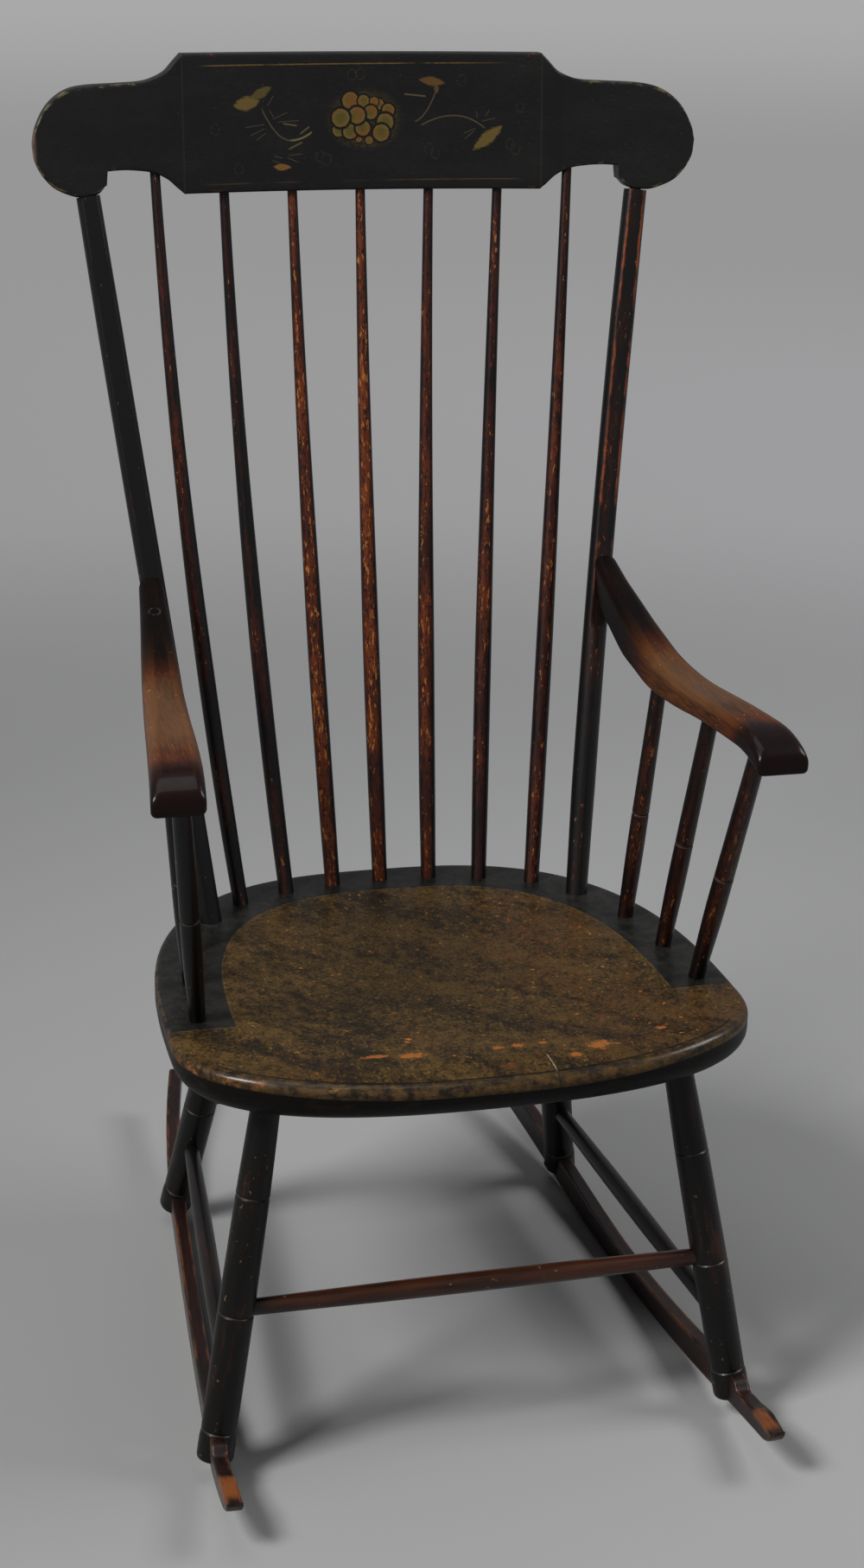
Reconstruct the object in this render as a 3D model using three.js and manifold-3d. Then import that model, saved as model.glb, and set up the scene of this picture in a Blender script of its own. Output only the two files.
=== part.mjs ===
// A Boston rocking chair in painted wood, put together from separate sawn, turned and bent pieces.
// Millimetres. x runs across the chair, y from front to back and z up from the floor.
// The rockers touch the floor on the line y = 0. Left and right are as seen from the front.

import * as THREE from 'three';
import { mergeVertices } from 'three/addons/utils/BufferGeometryUtils.js';
import Module from 'manifold-3d';

const wasm = await Module();
wasm.setup();

// Fits
const FIT = 0.3;
const OVERRUN = 8;
const slopeShare = 0.01;
// A rounded edge takes up no more than this share of the height it is on
const edgeLimitShare = 0.33;

// Faces round each kind of turned piece
const SPINDLE_SIDES = 10;
const POST_SIDES = 12;
const LEG_SIDES = 14;
const PEG_SIDES = 8;
const BORE_SIDES = 12;

// Seat plank
const SEAT_HEIGHT = 372;
const SEAT_THICKNESS = 40;
const SEAT_WIDTH = 514;
const SEAT_WIDEST_Y = -172;
const SEAT_FRONT_REACH = 132;
const SEAT_REAR_REACH = 355;
const SEAT_EDGE_ROUND = 7;
const SEAT_FRONT_DROP = 9;
const SEAT_ROLL_DEPTH = 46;
const SEAT_RIM = 60;
const SEAT_SADDLE_DEPTH = 5;
const SEAT_UNDERCUT_HEIGHT = 22;
const SEAT_UNDERCUT_INSET = 30;
const SEAT_FRONT_ROUNDNESS = 2.5;
const SEAT_REAR_ROUNDNESS = 2.8;
const SEAT_STEPS_ROUND = 56;
const saddleRingShares = [0.08, 0.25, 0.5, 0.8];
const rimFadeShares = [-0.75, -0.25];
const undercutShares = [0.3, 0.6];
const edgeRoundShare = 0.3;

// Crest rail
const CREST_BOTTOM = 1029;
const CREST_HEIGHT = 124;
const CREST_HALF_WIDTH = 310;
const CREST_PANEL_HALF_WIDTH = 170;
const CREST_THICKNESS = 19;
const CREST_EDGE_ROUND = 2.5;
const CREST_FRONT_Y = 250;
const CREST_BEND_RADIUS = 961;
const CREST_LEAN = 0.065;
const CREST_EAR_DROP = 25;
const CREST_NECK_RISE = 23;
const CREST_LOBE_WIDTH = 68;
// Each pair is a share of the ear's length from the panel to the tip, and a share of a height
const earTopShares = [[0, 0], [0.05, 0.28], [0.11, 0.62], [0.19, 0.84], [0.28, 0.96], [0.43, 1]];
const earCrownShares = [[0.64, 0.01], [0.76, 0.04], [0.86, 0.12], [0.93, 0.23], [0.98, 0.37], [0.996, 0.46],
  [1, 0.52]];
const neckShares = [[0, 0.04], [0.06, 0.16], [0.21, 0.57], [0.4, 0.85], [0.61, 0.96], [0.8, 1], [1, 0.98]];
const earLobeShares = [[0.035, 0.21], [0.14, 0.06], [0.32, 0.02], [0.48, 0.04], [0.72, 0.19], [0.87, 0.4],
  [0.97, 0.66], [0.993, 0.84], [1, 1]];

// Back posts
const POST_FOOT_X = 181;
const POST_FOOT_Y = 79;
const POST_HEAD_INSET = 49.5;
const POST_RADIUS = 11.5;
const POST_TIP_RADIUS = 10.8;
const POST_FOOT_RADIUS = 10.5;
const POST_FLAT_HALF_WIDTH = 7.6;
const POST_BOW = 11;
const POST_FLAT_BELOW_ARM = 20;
const POST_FLAT_RUNOUT = 12;
const POST_FOOT_TENON = 21;
const POST_HEAD_TENON = 26;
const POST_HEAD_TENON_RADIUS = 5.5;
const POST_HEAD_TENON_ROOT = 13;
const LEFT_SHOULDER_GAP = 0.4;
const RIGHT_SHOULDER_GAP = 1.5;
const postRoundShares = [0.15, 0.28];
const postFlatShares = [0.65, 0.82];

// Back spindles
const SPINDLE_COUNT = 7;
const SPINDLE_FOOT_SPACING = 48.5;
const SPINDLE_FOOT_Y = 152;
const SPINDLE_FEET_ARC_RADIUS = 312;
const SPINDLE_FOOT_RADIUS = 7.4;
const SPINDLE_BELLY_RADIUS = 8.1;
const SPINDLE_HEAD_RADIUS = 4.6;
const SPINDLE_BOW = 16.5;
const SPINDLE_SPREAD_BOW = 6.6;
const SPINDLE_FOOT_TENON = 20;
const SPINDLE_HEAD_TENON = 16;
// The heads stand this share of a post's distance from the middle apart
const headSpacingShare = 0.2518;
// How much of the bow each spindle has, from left to right
const spindleBowShares = [1, 1.45, 0.8, 0.65, 0.8, 1, 1];
// Each pair is a share of the length, and a share of the swelling from the foot's radius to the belly's
const spindleSwellShares = [[0.11, 0.8], [0.22, 1]];
// Each pair is a share of the length, and a share of the way from the belly's radius to the head's
const spindleTaperShares = [[0.34, 0], [0.46, 0.16], [0.6, 0.42], [0.75, 0.66], [0.88, 0.86]];

// Arms: heights of the top and the thickness along the arm, as the sawn board runs from front to back
const ARM_LOW_HEIGHT = 631;
const ARM_RISE = 57.5;
const ARM_FRONT_Y = -250;
const ARM_REAR_Y = 158;
const ARM_THICKNESS = 21;
const ARM_HEEL_THICKNESS = 42;
const ARM_FRONT_INNER_X = 233.5;
const ARM_FRONT_OUTER_X = 279;
const ARM_REAR_INNER_X = 210;
const ARM_REAR_OUTER_X = 232.5;
const ARM_EDGE_ROUND = 4.5;
const ARM_TOP_OUTER_ROUND = 10;
const ARM_TIP_SHRINK = 1.5;
const ARM_ROLL_DROP = 23;
const ARM_ROLL_LENGTH = 50;
// Each pair is a share of the way from the nose to the heel, and a share of the rise
const armTopShares = [[0, 0.01], [0.12, 0.02], [0.25, 0.01], [0.41, -0.03], [0.52, 0], [0.61, 0.09],
  [0.69, 0.25], [0.78, 0.45], [0.86, 0.64], [0.93, 0.81], [1, 1.03]];
const armThicknessShares = [[0, 0], [0.3, 0], [0.41, 0.1], [0.52, 0.3], [0.6, 0.5], [0.69, 0.7],
  [0.78, 0.92], [0.9, 0.95], [1, 1]];
const ARM_INNER_POWER = 1.6;
const ARM_OUTER_POWER = 1;
const ARM_STATIONS = 14;
const noseShares = [0, 0.02, 0.09, 0.2, 0.38, 0.62];

// Arm supports, from the front post backwards
const ARM_FRONT_POST = { footX: 228, footY: -141, headX: 249.5, headY: -209, radius: 8.9, tipRadius: 8 };
const ARM_SPINDLE_FRONT = { footX: 222, footY: -64, headX: 244, headY: -102, radius: 8.5, tipRadius: 7.5 };
const ARM_SPINDLE_REAR = { footX: 209, footY: 10, headX: 231, headY: 4, radius: 8.2, tipRadius: 7.2 };
const SUPPORT_FOOT_TENON = 20;
const SUPPORT_HEAD_TENON = 12;
const SUPPORT_FOOT_RADIUS = 7.4;
const supportRingShare = 0.45;
const supportBellyShare = 0.3;

// Legs. The front feet stand a little askew, towards the left.
const FRONT_LEG = {
  topX: 182.6, topY: -224.6, footX: 236, footY: -277.3, footZ: 20, footSkew: -4, ringSpacing: 105,
};
const BACK_LEG = {
  topX: 153.8, topY: 83.5, footX: 206, footY: 182.3, footZ: 17, footSkew: 0, ringSpacing: 112,
};
const LEG_TENON = 21;
const LEG_TOP_RADIUS = 13;
const LEG_UPPER_RADIUS = 14.9;
const LEG_BELLY_RADIUS = 16;
const LEG_LOW_RADIUS = 15.5;
const LEG_FOOT_RADIUS = 16.2;
const LEG_FOOT_CHAMFER = 3;
const LEG_STRAIGHT = 12;
const LEG_LOW_RING = 26;
const RING_WIDTH = 2.6;
const RING_DEPTH = 1.1;

// Stretchers
const STRETCHER_END_RADIUS = 7.5;
const STRETCHER_MIDDLE_RADIUS = 8.9;
const STRETCHER_PAST_AXIS = 1;
const FRONT_STRETCHER_OVER_RING = 4;
const BACK_STRETCHER_OVER_RING = 10;
const sideStretcherFrontShare = 0.47;
const sideStretcherBackShare = 0.53;
// Each pair is a share of a stretcher's length, and a share of its swelling from the end to the middle
const stretcherSwellShares = [[0.32, 0.8], [0.5, 1], [0.68, 0.8]];

// Rockers
const ROCKER_RADIUS = 2000;
const ROCKER_LOW_Y = -10.5;
const ROCKER_THICKNESS = 14;
const ROCKER_WAIST = 23.5;
const ROCKER_LAND_HEIGHT = 27;
const ROCKER_LAND_LENGTH = 44;
const ROCKER_NOSE_REACH = 390;
const ROCKER_TAIL_REACH = 410;
const ROCKER_NOSE_TOE_IN = 5;
const ROCKER_TAIL_TOE_IN = 16;
const ROCKER_FACET = 34;
const ROCKER_SCOOP_HEIGHT = 18;
const ROCKER_HUMP_HEIGHT = 20;
const ROCKER_TIP_HEIGHT = 14.5;
const ROCKER_NOSE_ROUND = 24;
const ROCKER_TAIL_HEIGHT = 20;
const ROCKER_TAIL_ROUND = 8;
const ROCKER_EDGE_ROUND = 2;
const ROCKER_STATION_APART = 0.5;
// Shares of the nose's length, from its tip back to the front foot
const humpShare = 0.345;
const scoopShares = [0.635, 0.87];
const scoopRiseShare = 0.935;
const rockerEndShares = [0, 0.05, 0.2, 0.5, 1];

// Pegs
const ROCKER_PEG_RADIUS = 3;
const ROCKER_PEG_HEIGHT = 14;
const ROCKER_PEG_INSET = 1.5;
const ARM_PEG_RADIUS = 3;
const ARM_PEG_REACH = 20;
const armPegShare = 0.36;
const CREST_PEG_RADIUS = 2;
const CREST_PEG_STOP = 3;

// Finishes
const BLACK_PAINT = { color: 0x1d1715, roughness: 0.48, metalness: 0 };
const STREAKED_PAINT = { color: 0x3a1d14, roughness: 0.45, metalness: 0 };
const WORN_MAHOGANY = { color: 0x5a3018, roughness: 0.38, metalness: 0 };
const GRAINED_SEAT = { color: 0x3f3218, roughness: 0.42, metalness: 0 };
const BARE_WOOD = { color: 0x7a5230, roughness: 0.7, metalness: 0 };

const X_AXIS = new THREE.Vector3(1, 0, 0);
const Y_AXIS = new THREE.Vector3(0, 1, 0);
const SIDES = [{ side: -1, label: 'left' }, { side: 1, label: 'right' }];
const { clamp, lerp, mapLinear, smoothstep } = THREE.MathUtils;

const chair = new THREE.Group();

// A named piece of the chair with its own finish
function addPiece(name, geometry, finish) {
  const piece = new THREE.Mesh(geometry, new THREE.MeshStandardMaterial(finish));
  piece.name = name;
  chair.add(piece);
  return piece;
}

// The closed solid of a geometry, carried by a matrix
function solidOf(geometry, matrix) {
  const bare = geometry.clone().applyMatrix4(matrix);
  bare.deleteAttribute('normal');
  bare.deleteAttribute('uv');
  const merged = mergeVertices(bare);
  const vertProperties = new Float32Array(merged.attributes.position.array);
  const triVerts = new Uint32Array(merged.index.array);
  return new wasm.Manifold(new wasm.Mesh({ numProp: 3, vertProperties, triVerts }));
}

// The geometry of a closed solid
function geometryOf(solid) {
  const mesh = solid.getMesh();
  const geometry = new THREE.BufferGeometry();
  geometry.setAttribute('position', new THREE.BufferAttribute(new Float32Array(mesh.vertProperties), 3));
  geometry.setIndex(new THREE.BufferAttribute(new Uint32Array(mesh.triVerts), 1));
  geometry.computeVertexNormals();
  return geometry;
}

// Where another mesh lies as seen from a piece
function relativeMatrix(piece, other) {
  piece.updateMatrix();
  other.updateMatrix();
  return piece.matrix.clone().invert().multiply(other.matrix);
}

// Take tools away from a piece
function cut(piece, ...tools) {
  let solid = solidOf(piece.geometry, new THREE.Matrix4());
  for (const tool of tools) {
    solid = solid.subtract(solidOf(tool.geometry, relativeMatrix(piece, tool)));
  }
  piece.geometry = geometryOf(solid);
}

// Join a tool to a piece
function join(piece, tool) {
  const solid = solidOf(piece.geometry, new THREE.Matrix4());
  piece.geometry = geometryOf(solid.add(solidOf(tool.geometry, relativeMatrix(piece, tool))));
}

// A skin over rings of points, closed by a middle point at each end.
// Seen from the last ring, each ring runs anticlockwise.
function skin(rings) {
  const count = rings[0].length;
  const positions = [];
  for (const ring of rings) {
    for (const point of ring) positions.push(point.x, point.y, point.z);
  }
  for (const ring of [rings[0], rings[rings.length - 1]]) {
    const middle = new THREE.Vector3();
    for (const point of ring) middle.addScaledVector(point, 1 / count);
    positions.push(middle.x, middle.y, middle.z);
  }
  const index = [];
  const firstMiddle = rings.length * count;
  for (let i = 0; i < count; i += 1) {
    const next = (i + 1) % count;
    for (let r = 0; r < rings.length - 1; r += 1) {
      const a = r * count + i;
      const b = r * count + next;
      index.push(a, b, a + count, b, b + count, a + count);
    }
    const last = (rings.length - 1) * count;
    index.push(firstMiddle, next, i, firstMiddle + 1, last + i, last + next);
  }
  const geometry = new THREE.BufferGeometry();
  geometry.setAttribute('position', new THREE.Float32BufferAttribute(positions, 3));
  geometry.setIndex(index);
  geometry.computeVertexNormals();
  return geometry;
}

// Height over a row of [place, height] points, joined by a smooth curve
function smoothHeight(points) {
  const stepsPerPoint = 12;
  const curve = new THREE.SplineCurve(points.map(([place, height]) => new THREE.Vector2(place, height)));
  const line = curve.getPoints(stepsPerPoint * points.length);
  return (place) => {
    const inside = clamp(place, points[0][0], points[points.length - 1][0]);
    const after = Math.max(1, line.findIndex((point) => point.x >= inside));
    const from = line[after - 1];
    const to = line[after];
    return mapLinear(inside, from.x, to.x, from.y, to.y);
  };
}

// A straight turned piece between two points, its profile given as [distance from the foot, radius]
function turned(name, foot, head, profile, sides, finish) {
  const points = [new THREE.Vector2(0, profile[0][0])];
  for (const [distance, radius] of profile) points.push(new THREE.Vector2(radius, distance));
  points.push(new THREE.Vector2(0, profile[profile.length - 1][0]));
  const piece = addPiece(name, new THREE.LatheGeometry(points, sides), finish);
  piece.position.copy(foot);
  piece.quaternion.setFromUnitVectors(Y_AXIS, head.clone().sub(foot).normalize());
  return piece;
}

// A scored ring in a turned profile
function scoredRing(distance, radius) {
  return [
    [distance - RING_WIDTH / 2, radius],
    [distance, radius - RING_DEPTH],
    [distance + RING_WIDTH / 2, radius],
  ];
}

// A round cutter between two points, wide enough to clear a round piece of the given radius
function bore(from, to, radius) {
  const reach = to.clone().sub(from);
  const clear = (radius + FIT) / Math.cos(Math.PI / BORE_SIDES);
  const tool = new THREE.Mesh(new THREE.CylinderGeometry(clear, clear, reach.length(), BORE_SIDES));
  tool.position.copy(from).addScaledVector(reach, 0.5);
  tool.quaternion.setFromUnitVectors(Y_AXIS, reach.normalize());
  return tool;
}

// The centre line of a bent stick: the chord from foot to head plus a bow that is greatest halfway.
// Beyond its ends the line runs on straight, as the tenons do.
function stickLine(foot, head, bow) {
  return (share) => {
    const inside = clamp(share, 0, 1);
    const bend = 4 * inside * (1 - inside) + 4 * (1 - 2 * inside) * (share - inside);
    return foot.clone().lerp(head, share).addScaledVector(bow, bend);
  };
}

function stickDirection(line, share) {
  return line(share + slopeShare).sub(line(share - slopeShare)).normalize();
}

// The share of a stick's length that a straight tenon at one of its ends takes up
function tenonShare(line, end, tenonLength) {
  const along = line(end + slopeShare).distanceTo(line(end - slopeShare)) / (2 * slopeShare);
  return tenonLength / along;
}

// One ring round a stick, open across a flat in front when flatHalfAngle is more than half a face
function stickRing(line, share, radius, sides, flatHalfAngle) {
  const along = stickDirection(line, share);
  const across = X_AXIS.clone().addScaledVector(along, -along.x).normalize();
  const front = across.clone().cross(along);
  const open = Math.max(flatHalfAngle, Math.PI / sides);
  const centre = line(share);
  const ring = [];
  for (let i = 0; i < sides; i += 1) {
    const angle = open + ((2 * Math.PI - 2 * open) * i) / (sides - 1);
    ring.push(centre.clone()
      .addScaledVector(front, radius * Math.cos(angle))
      .addScaledVector(across, radius * Math.sin(angle)));
  }
  return ring;
}

// Seat

const seatHalfWidth = SEAT_WIDTH / 2;
const seatUnderside = SEAT_HEIGHT - SEAT_THICKNESS;

// The outline is two halves of a rounded oval that meet where the seat is widest
function seatOutline(angle, inset) {
  const across = -Math.sin(angle);
  const back = Math.cos(angle);
  const roundness = back > 0 ? SEAT_REAR_ROUNDNESS : SEAT_FRONT_ROUNDNESS;
  const reach = back > 0 ? SEAT_REAR_REACH : SEAT_FRONT_REACH;
  const power = 2 / roundness;
  return new THREE.Vector2(
    (seatHalfWidth - inset) * Math.sign(across) * Math.abs(across) ** power,
    SEAT_WIDEST_Y + (reach - inset) * Math.sign(back) * Math.abs(back) ** power,
  );
}

// The front of the top rolls down towards its edge
function seatTopHeight(y) {
  const rollStart = SEAT_WIDEST_Y - SEAT_FRONT_REACH + SEAT_ROLL_DEPTH;
  const into = clamp((rollStart - y) / SEAT_ROLL_DEPTH, 0, 1);
  return SEAT_HEIGHT - SEAT_FRONT_DROP * into * into;
}

// The flat rim runs round the back and the sides and dies away towards the front
function seatRimWidth(angle) {
  const fade = smoothstep(Math.cos(angle), ...rimFadeShares);
  return lerp(SEAT_EDGE_ROUND * 2, SEAT_RIM, fade);
}

function buildSeat() {
  const rings = [];
  const addRing = (insetAt, heightAt) => {
    const ring = [];
    for (let i = 0; i < SEAT_STEPS_ROUND; i += 1) {
      const angle = (2 * Math.PI * i) / SEAT_STEPS_ROUND;
      const place = seatOutline(angle, insetAt(angle));
      ring.push(new THREE.Vector3(place.x, place.y, heightAt(place)));
    }
    rings.push(ring);
  };
  const undercut = seatUnderside + SEAT_UNDERCUT_HEIGHT;
  const underHeight = undercut - SEAT_UNDERCUT_HEIGHT * undercutShares[1];
  addRing(() => SEAT_UNDERCUT_INSET, () => seatUnderside);
  addRing(() => SEAT_UNDERCUT_INSET * undercutShares[0], () => underHeight);
  addRing(() => 0, () => undercut);
  addRing(() => 0, (place) => seatTopHeight(place.y) - SEAT_EDGE_ROUND);
  const edgeBend = SEAT_EDGE_ROUND * edgeRoundShare;
  addRing(() => edgeBend, (place) => seatTopHeight(place.y) - edgeBend);
  addRing(() => SEAT_EDGE_ROUND, (place) => seatTopHeight(place.y));
  addRing(seatRimWidth, (place) => seatTopHeight(place.y));
  const bowl = rings[rings.length - 1];
  const middle = new THREE.Vector3(0, SEAT_WIDEST_Y + (SEAT_REAR_REACH - SEAT_FRONT_REACH) / 2, 0);
  for (const share of saddleRingShares) {
    const sink = SEAT_SADDLE_DEPTH * Math.sin((share * Math.PI) / 2);
    rings.push(bowl.map((point) => {
      const inner = point.clone().lerp(middle, share);
      inner.z = seatTopHeight(inner.y) - sink;
      return inner;
    }));
  }
  return addPiece('seat', skin(rings), GRAINED_SEAT);
}

const seat = buildSeat();

// Crest rail

const crestTop = CREST_BOTTOM + CREST_HEIGHT;
const earLength = CREST_HALF_WIDTH - CREST_PANEL_HALF_WIDTH;
const neckEnd = CREST_HALF_WIDTH - CREST_LOBE_WIDTH;
const neckLength = neckEnd - CREST_PANEL_HALF_WIDTH;
const postHeadX = CREST_HALF_WIDTH - POST_HEAD_INSET;
const earTop = crestTop - CREST_EAR_DROP;
const earHeight = earTop - CREST_BOTTOM;
const earTipDrop = earHeight * earCrownShares[earCrownShares.length - 1][1];
const earTipHeight = earTop - earTipDrop;
const earPlace = (share) => CREST_PANEL_HALF_WIDTH + earLength * share;

const crestTopHeight = smoothHeight([
  ...earTopShares.map(([along, down]) => [earPlace(along), crestTop - CREST_EAR_DROP * down]),
  ...earCrownShares.map(([along, down]) => [earPlace(along), earTop - earHeight * down]),
]);
const crestNeckHeight = smoothHeight(neckShares.map(([along, up]) => [
  CREST_PANEL_HALF_WIDTH + neckLength * along,
  CREST_BOTTOM + CREST_NECK_RISE * up,
]));
const crestLobeHeight = smoothHeight(earLobeShares.map(([along, up]) => [
  neckEnd + CREST_LOBE_WIDTH * along,
  CREST_BOTTOM + (earTipHeight - CREST_BOTTOM) * up,
]));

function crestBottomHeight(x) {
  const out = Math.abs(x);
  if (out <= CREST_PANEL_HALF_WIDTH) return CREST_BOTTOM;
  return out <= neckEnd ? crestNeckHeight(out) : crestLobeHeight(out);
}

// The front face lies on an upright drum, leaning back a little
function crestFace(x, z) {
  const sweep = CREST_BEND_RADIUS - Math.sqrt(CREST_BEND_RADIUS ** 2 - x ** 2);
  return CREST_FRONT_Y - sweep + CREST_LEAN * (z - CREST_BOTTOM);
}

function crestSection(x, isTip) {
  const out = Math.abs(x);
  const top = isTip ? earTipHeight + CREST_EDGE_ROUND : crestTopHeight(out);
  const bottom = isTip ? earTipHeight - CREST_EDGE_ROUND : crestBottomHeight(x);
  const edge = Math.min(CREST_EDGE_ROUND, (top - bottom) * edgeLimitShare);
  const corner = (depth, z) => new THREE.Vector3(x, crestFace(x, z) + depth, z);
  return [
    corner(edge, bottom), corner(CREST_THICKNESS - edge, bottom),
    corner(CREST_THICKNESS, bottom + edge), corner(CREST_THICKNESS, top - edge),
    corner(CREST_THICKNESS - edge, top), corner(edge, top),
    corner(0, top - edge), corner(0, bottom + edge),
  ];
}

function crestStations() {
  const panelSteps = 5;
  const neckSteps = 8;
  const lobeSteps = 12;
  const stations = [];
  for (let i = 0; i < panelSteps; i += 1) stations.push((CREST_PANEL_HALF_WIDTH * i) / panelSteps);
  const neckStep = neckLength / neckSteps;
  for (let i = 0; i <= neckSteps; i += 1) stations.push(CREST_PANEL_HALF_WIDTH + neckStep * i);
  stations.push(neckEnd + CREST_LOBE_WIDTH * earLobeShares[0][0]);
  for (let i = 1; i <= lobeSteps; i += 1) {
    stations.push(neckEnd + CREST_LOBE_WIDTH * Math.sin((i * Math.PI) / 2 / lobeSteps));
  }
  return stations;
}

function buildCrest() {
  const outward = crestStations();
  const all = [...outward.slice(1).reverse().map((x) => -x), ...outward];
  const last = all.length - 1;
  const rings = all.map((x, i) => crestSection(x, i === 0 || i === last));
  return addPiece('crest_rail', skin(rings), BLACK_PAINT);
}

const crest = buildCrest();

// The point on the middle of the crest's underside at a place across the chair
function crestSocket(x) {
  const z = crestBottomHeight(x);
  return new THREE.Vector3(x, crestFace(x, z) + CREST_THICKNESS / 2, z);
}

// Bore a stick's two sockets, in the seat for its foot and in the board above for its head
function boreSockets(line, footTenon, footRadius, headHost, headTenon, headRadius) {
  const foot = line(0);
  const up = stickDirection(line, 0);
  const down = foot.clone().addScaledVector(up, -footTenon - FIT);
  cut(seat, bore(down, foot.clone().addScaledVector(up, OVERRUN), footRadius));
  const head = line(1);
  const on = stickDirection(line, 1);
  const end = head.clone().addScaledVector(on, headTenon + FIT);
  cut(headHost, bore(head.clone().addScaledVector(on, -OVERRUN), end, headRadius));
}

// Back posts

const postFlatHalfAngle = Math.asin(POST_FLAT_HALF_WIDTH / POST_RADIUS);
const postFlatDepth = Math.sqrt(POST_RADIUS ** 2 - POST_FLAT_HALF_WIDTH ** 2);

function postLine(side) {
  const foot = new THREE.Vector3(side * POST_FOOT_X, POST_FOOT_Y, SEAT_HEIGHT);
  return stickLine(foot, crestSocket(side * postHeadX), new THREE.Vector3(0, POST_BOW, 0));
}

// The share of the post's length at a height
function postShareAt(z) {
  return (z - SEAT_HEIGHT) / (crestSocket(postHeadX).z - SEAT_HEIGHT);
}

// The arm's heel covers the post from its top down to where the arm's underside meets it
const heelTop = ARM_LOW_HEIGHT + ARM_RISE;
const heelBottom = heelTop - ARM_HEEL_THICKNESS;

function buildPost(side, label, shoulderGap) {
  const line = postLine(side);
  const length = line(0).distanceTo(line(1));
  const flatFull = postShareAt(heelBottom - POST_FLAT_BELOW_ARM);
  const flatStart = postShareAt(heelBottom - POST_FLAT_BELOW_ARM - POST_FLAT_RUNOUT);
  const round = (share, radius) => stickRing(line, share, radius, POST_SIDES, 0);
  const flat = (share, radius) => stickRing(line, share, radius, POST_SIDES, postFlatHalfAngle);
  const rings = [
    round(-tenonShare(line, 0, POST_FOOT_TENON), POST_FOOT_RADIUS),
    round(POST_FOOT_RADIUS / length, POST_FOOT_RADIUS),
    ...postRoundShares.map((share) => round(share, POST_RADIUS)),
    round(flatStart, POST_RADIUS),
    flat(flatFull, POST_RADIUS),
    flat(postShareAt(heelTop), POST_RADIUS),
    ...postFlatShares.map((share) => flat(share, POST_RADIUS)),
    flat(1 + OVERRUN / length, POST_TIP_RADIUS),
  ];
  const post = addPiece(`${label}_back_post`, skin(rings), STREAKED_PAINT);

  // Saw the shoulder level under the crest's ear, then leave the round tenon standing on it
  const ear = [postHeadX - POST_RADIUS, postHeadX, postHeadX + POST_RADIUS].map(crestBottomHeight);
  const shoulder = Math.min(...ear) - shoulderGap;
  const size = POST_RADIUS * 6;
  const block = new THREE.Mesh(new THREE.BoxGeometry(size, size, size));
  block.position.copy(line(1)).setZ(shoulder + size / 2);
  cut(post, block);
  const rise = stickDirection(line, 1);
  const tenonLength = POST_HEAD_TENON_ROOT + POST_HEAD_TENON;
  const tenon = new THREE.Mesh(new THREE.CylinderGeometry(
    POST_HEAD_TENON_RADIUS, POST_HEAD_TENON_RADIUS, tenonLength, SPINDLE_SIDES));
  tenon.position.copy(line(1)).addScaledVector(rise, tenonLength / 2 - POST_HEAD_TENON_ROOT);
  tenon.quaternion.setFromUnitVectors(Y_AXIS, rise);
  join(post, tenon);
  boreSockets(line, POST_FOOT_TENON, POST_FOOT_RADIUS, crest, POST_HEAD_TENON, POST_HEAD_TENON_RADIUS);
  return post;
}

const posts = {
  left: buildPost(-1, 'left', LEFT_SHOULDER_GAP),
  right: buildPost(1, 'right', RIGHT_SHOULDER_GAP),
};

// Back spindles, numbered from left to right

function buildSpindle(number) {
  const place = number - (SPINDLE_COUNT + 1) / 2;
  const footX = place * SPINDLE_FOOT_SPACING;
  const sweep = SPINDLE_FEET_ARC_RADIUS - Math.sqrt(SPINDLE_FEET_ARC_RADIUS ** 2 - footX ** 2);
  const foot = new THREE.Vector3(footX, SPINDLE_FOOT_Y - sweep, SEAT_HEIGHT);
  const outShare = place / ((SPINDLE_COUNT - 1) / 2);
  const backBow = SPINDLE_BOW * spindleBowShares[number - 1];
  const bow = new THREE.Vector3(SPINDLE_SPREAD_BOW * outShare * Math.abs(outShare), backBow, 0);
  const line = stickLine(foot, crestSocket(place * postHeadX * headSpacingShare), bow);
  const length = line(0).distanceTo(line(1));
  const profile = [
    [-tenonShare(line, 0, SPINDLE_FOOT_TENON), SPINDLE_FOOT_RADIUS],
    [SPINDLE_FOOT_RADIUS / length, SPINDLE_FOOT_RADIUS],
    ...spindleSwellShares.map(([along, swell]) => [
      along, lerp(SPINDLE_FOOT_RADIUS, SPINDLE_BELLY_RADIUS, swell),
    ]),
    ...spindleTaperShares.map(([along, taper]) => [
      along, lerp(SPINDLE_BELLY_RADIUS, SPINDLE_HEAD_RADIUS, taper),
    ]),
    [1 - SPINDLE_FOOT_RADIUS / length, SPINDLE_HEAD_RADIUS],
    [1 + tenonShare(line, 1, SPINDLE_HEAD_TENON), SPINDLE_HEAD_RADIUS],
  ];
  const rings = profile.map(([share, radius]) => stickRing(line, share, radius, SPINDLE_SIDES, 0));
  addPiece(`back_spindle_${number}`, skin(rings), STREAKED_PAINT);
  boreSockets(line, SPINDLE_FOOT_TENON, SPINDLE_FOOT_RADIUS, crest, SPINDLE_HEAD_TENON, SPINDLE_HEAD_RADIUS);
}

for (let number = 1; number <= SPINDLE_COUNT; number += 1) buildSpindle(number);

// Arms

const armLength = ARM_REAR_Y - ARM_FRONT_Y;
const armTopRise = smoothHeight(armTopShares);
const armThickening = smoothHeight(armThicknessShares);

function armTopHeight(y) {
  const intoNose = clamp((ARM_FRONT_Y + ARM_ROLL_LENGTH - y) / ARM_ROLL_LENGTH, 0, 1);
  const roll = ARM_ROLL_DROP * (1 - Math.sqrt(1 - intoNose ** 2));
  return ARM_LOW_HEIGHT + ARM_RISE * armTopRise((y - ARM_FRONT_Y) / armLength) - roll;
}

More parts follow.
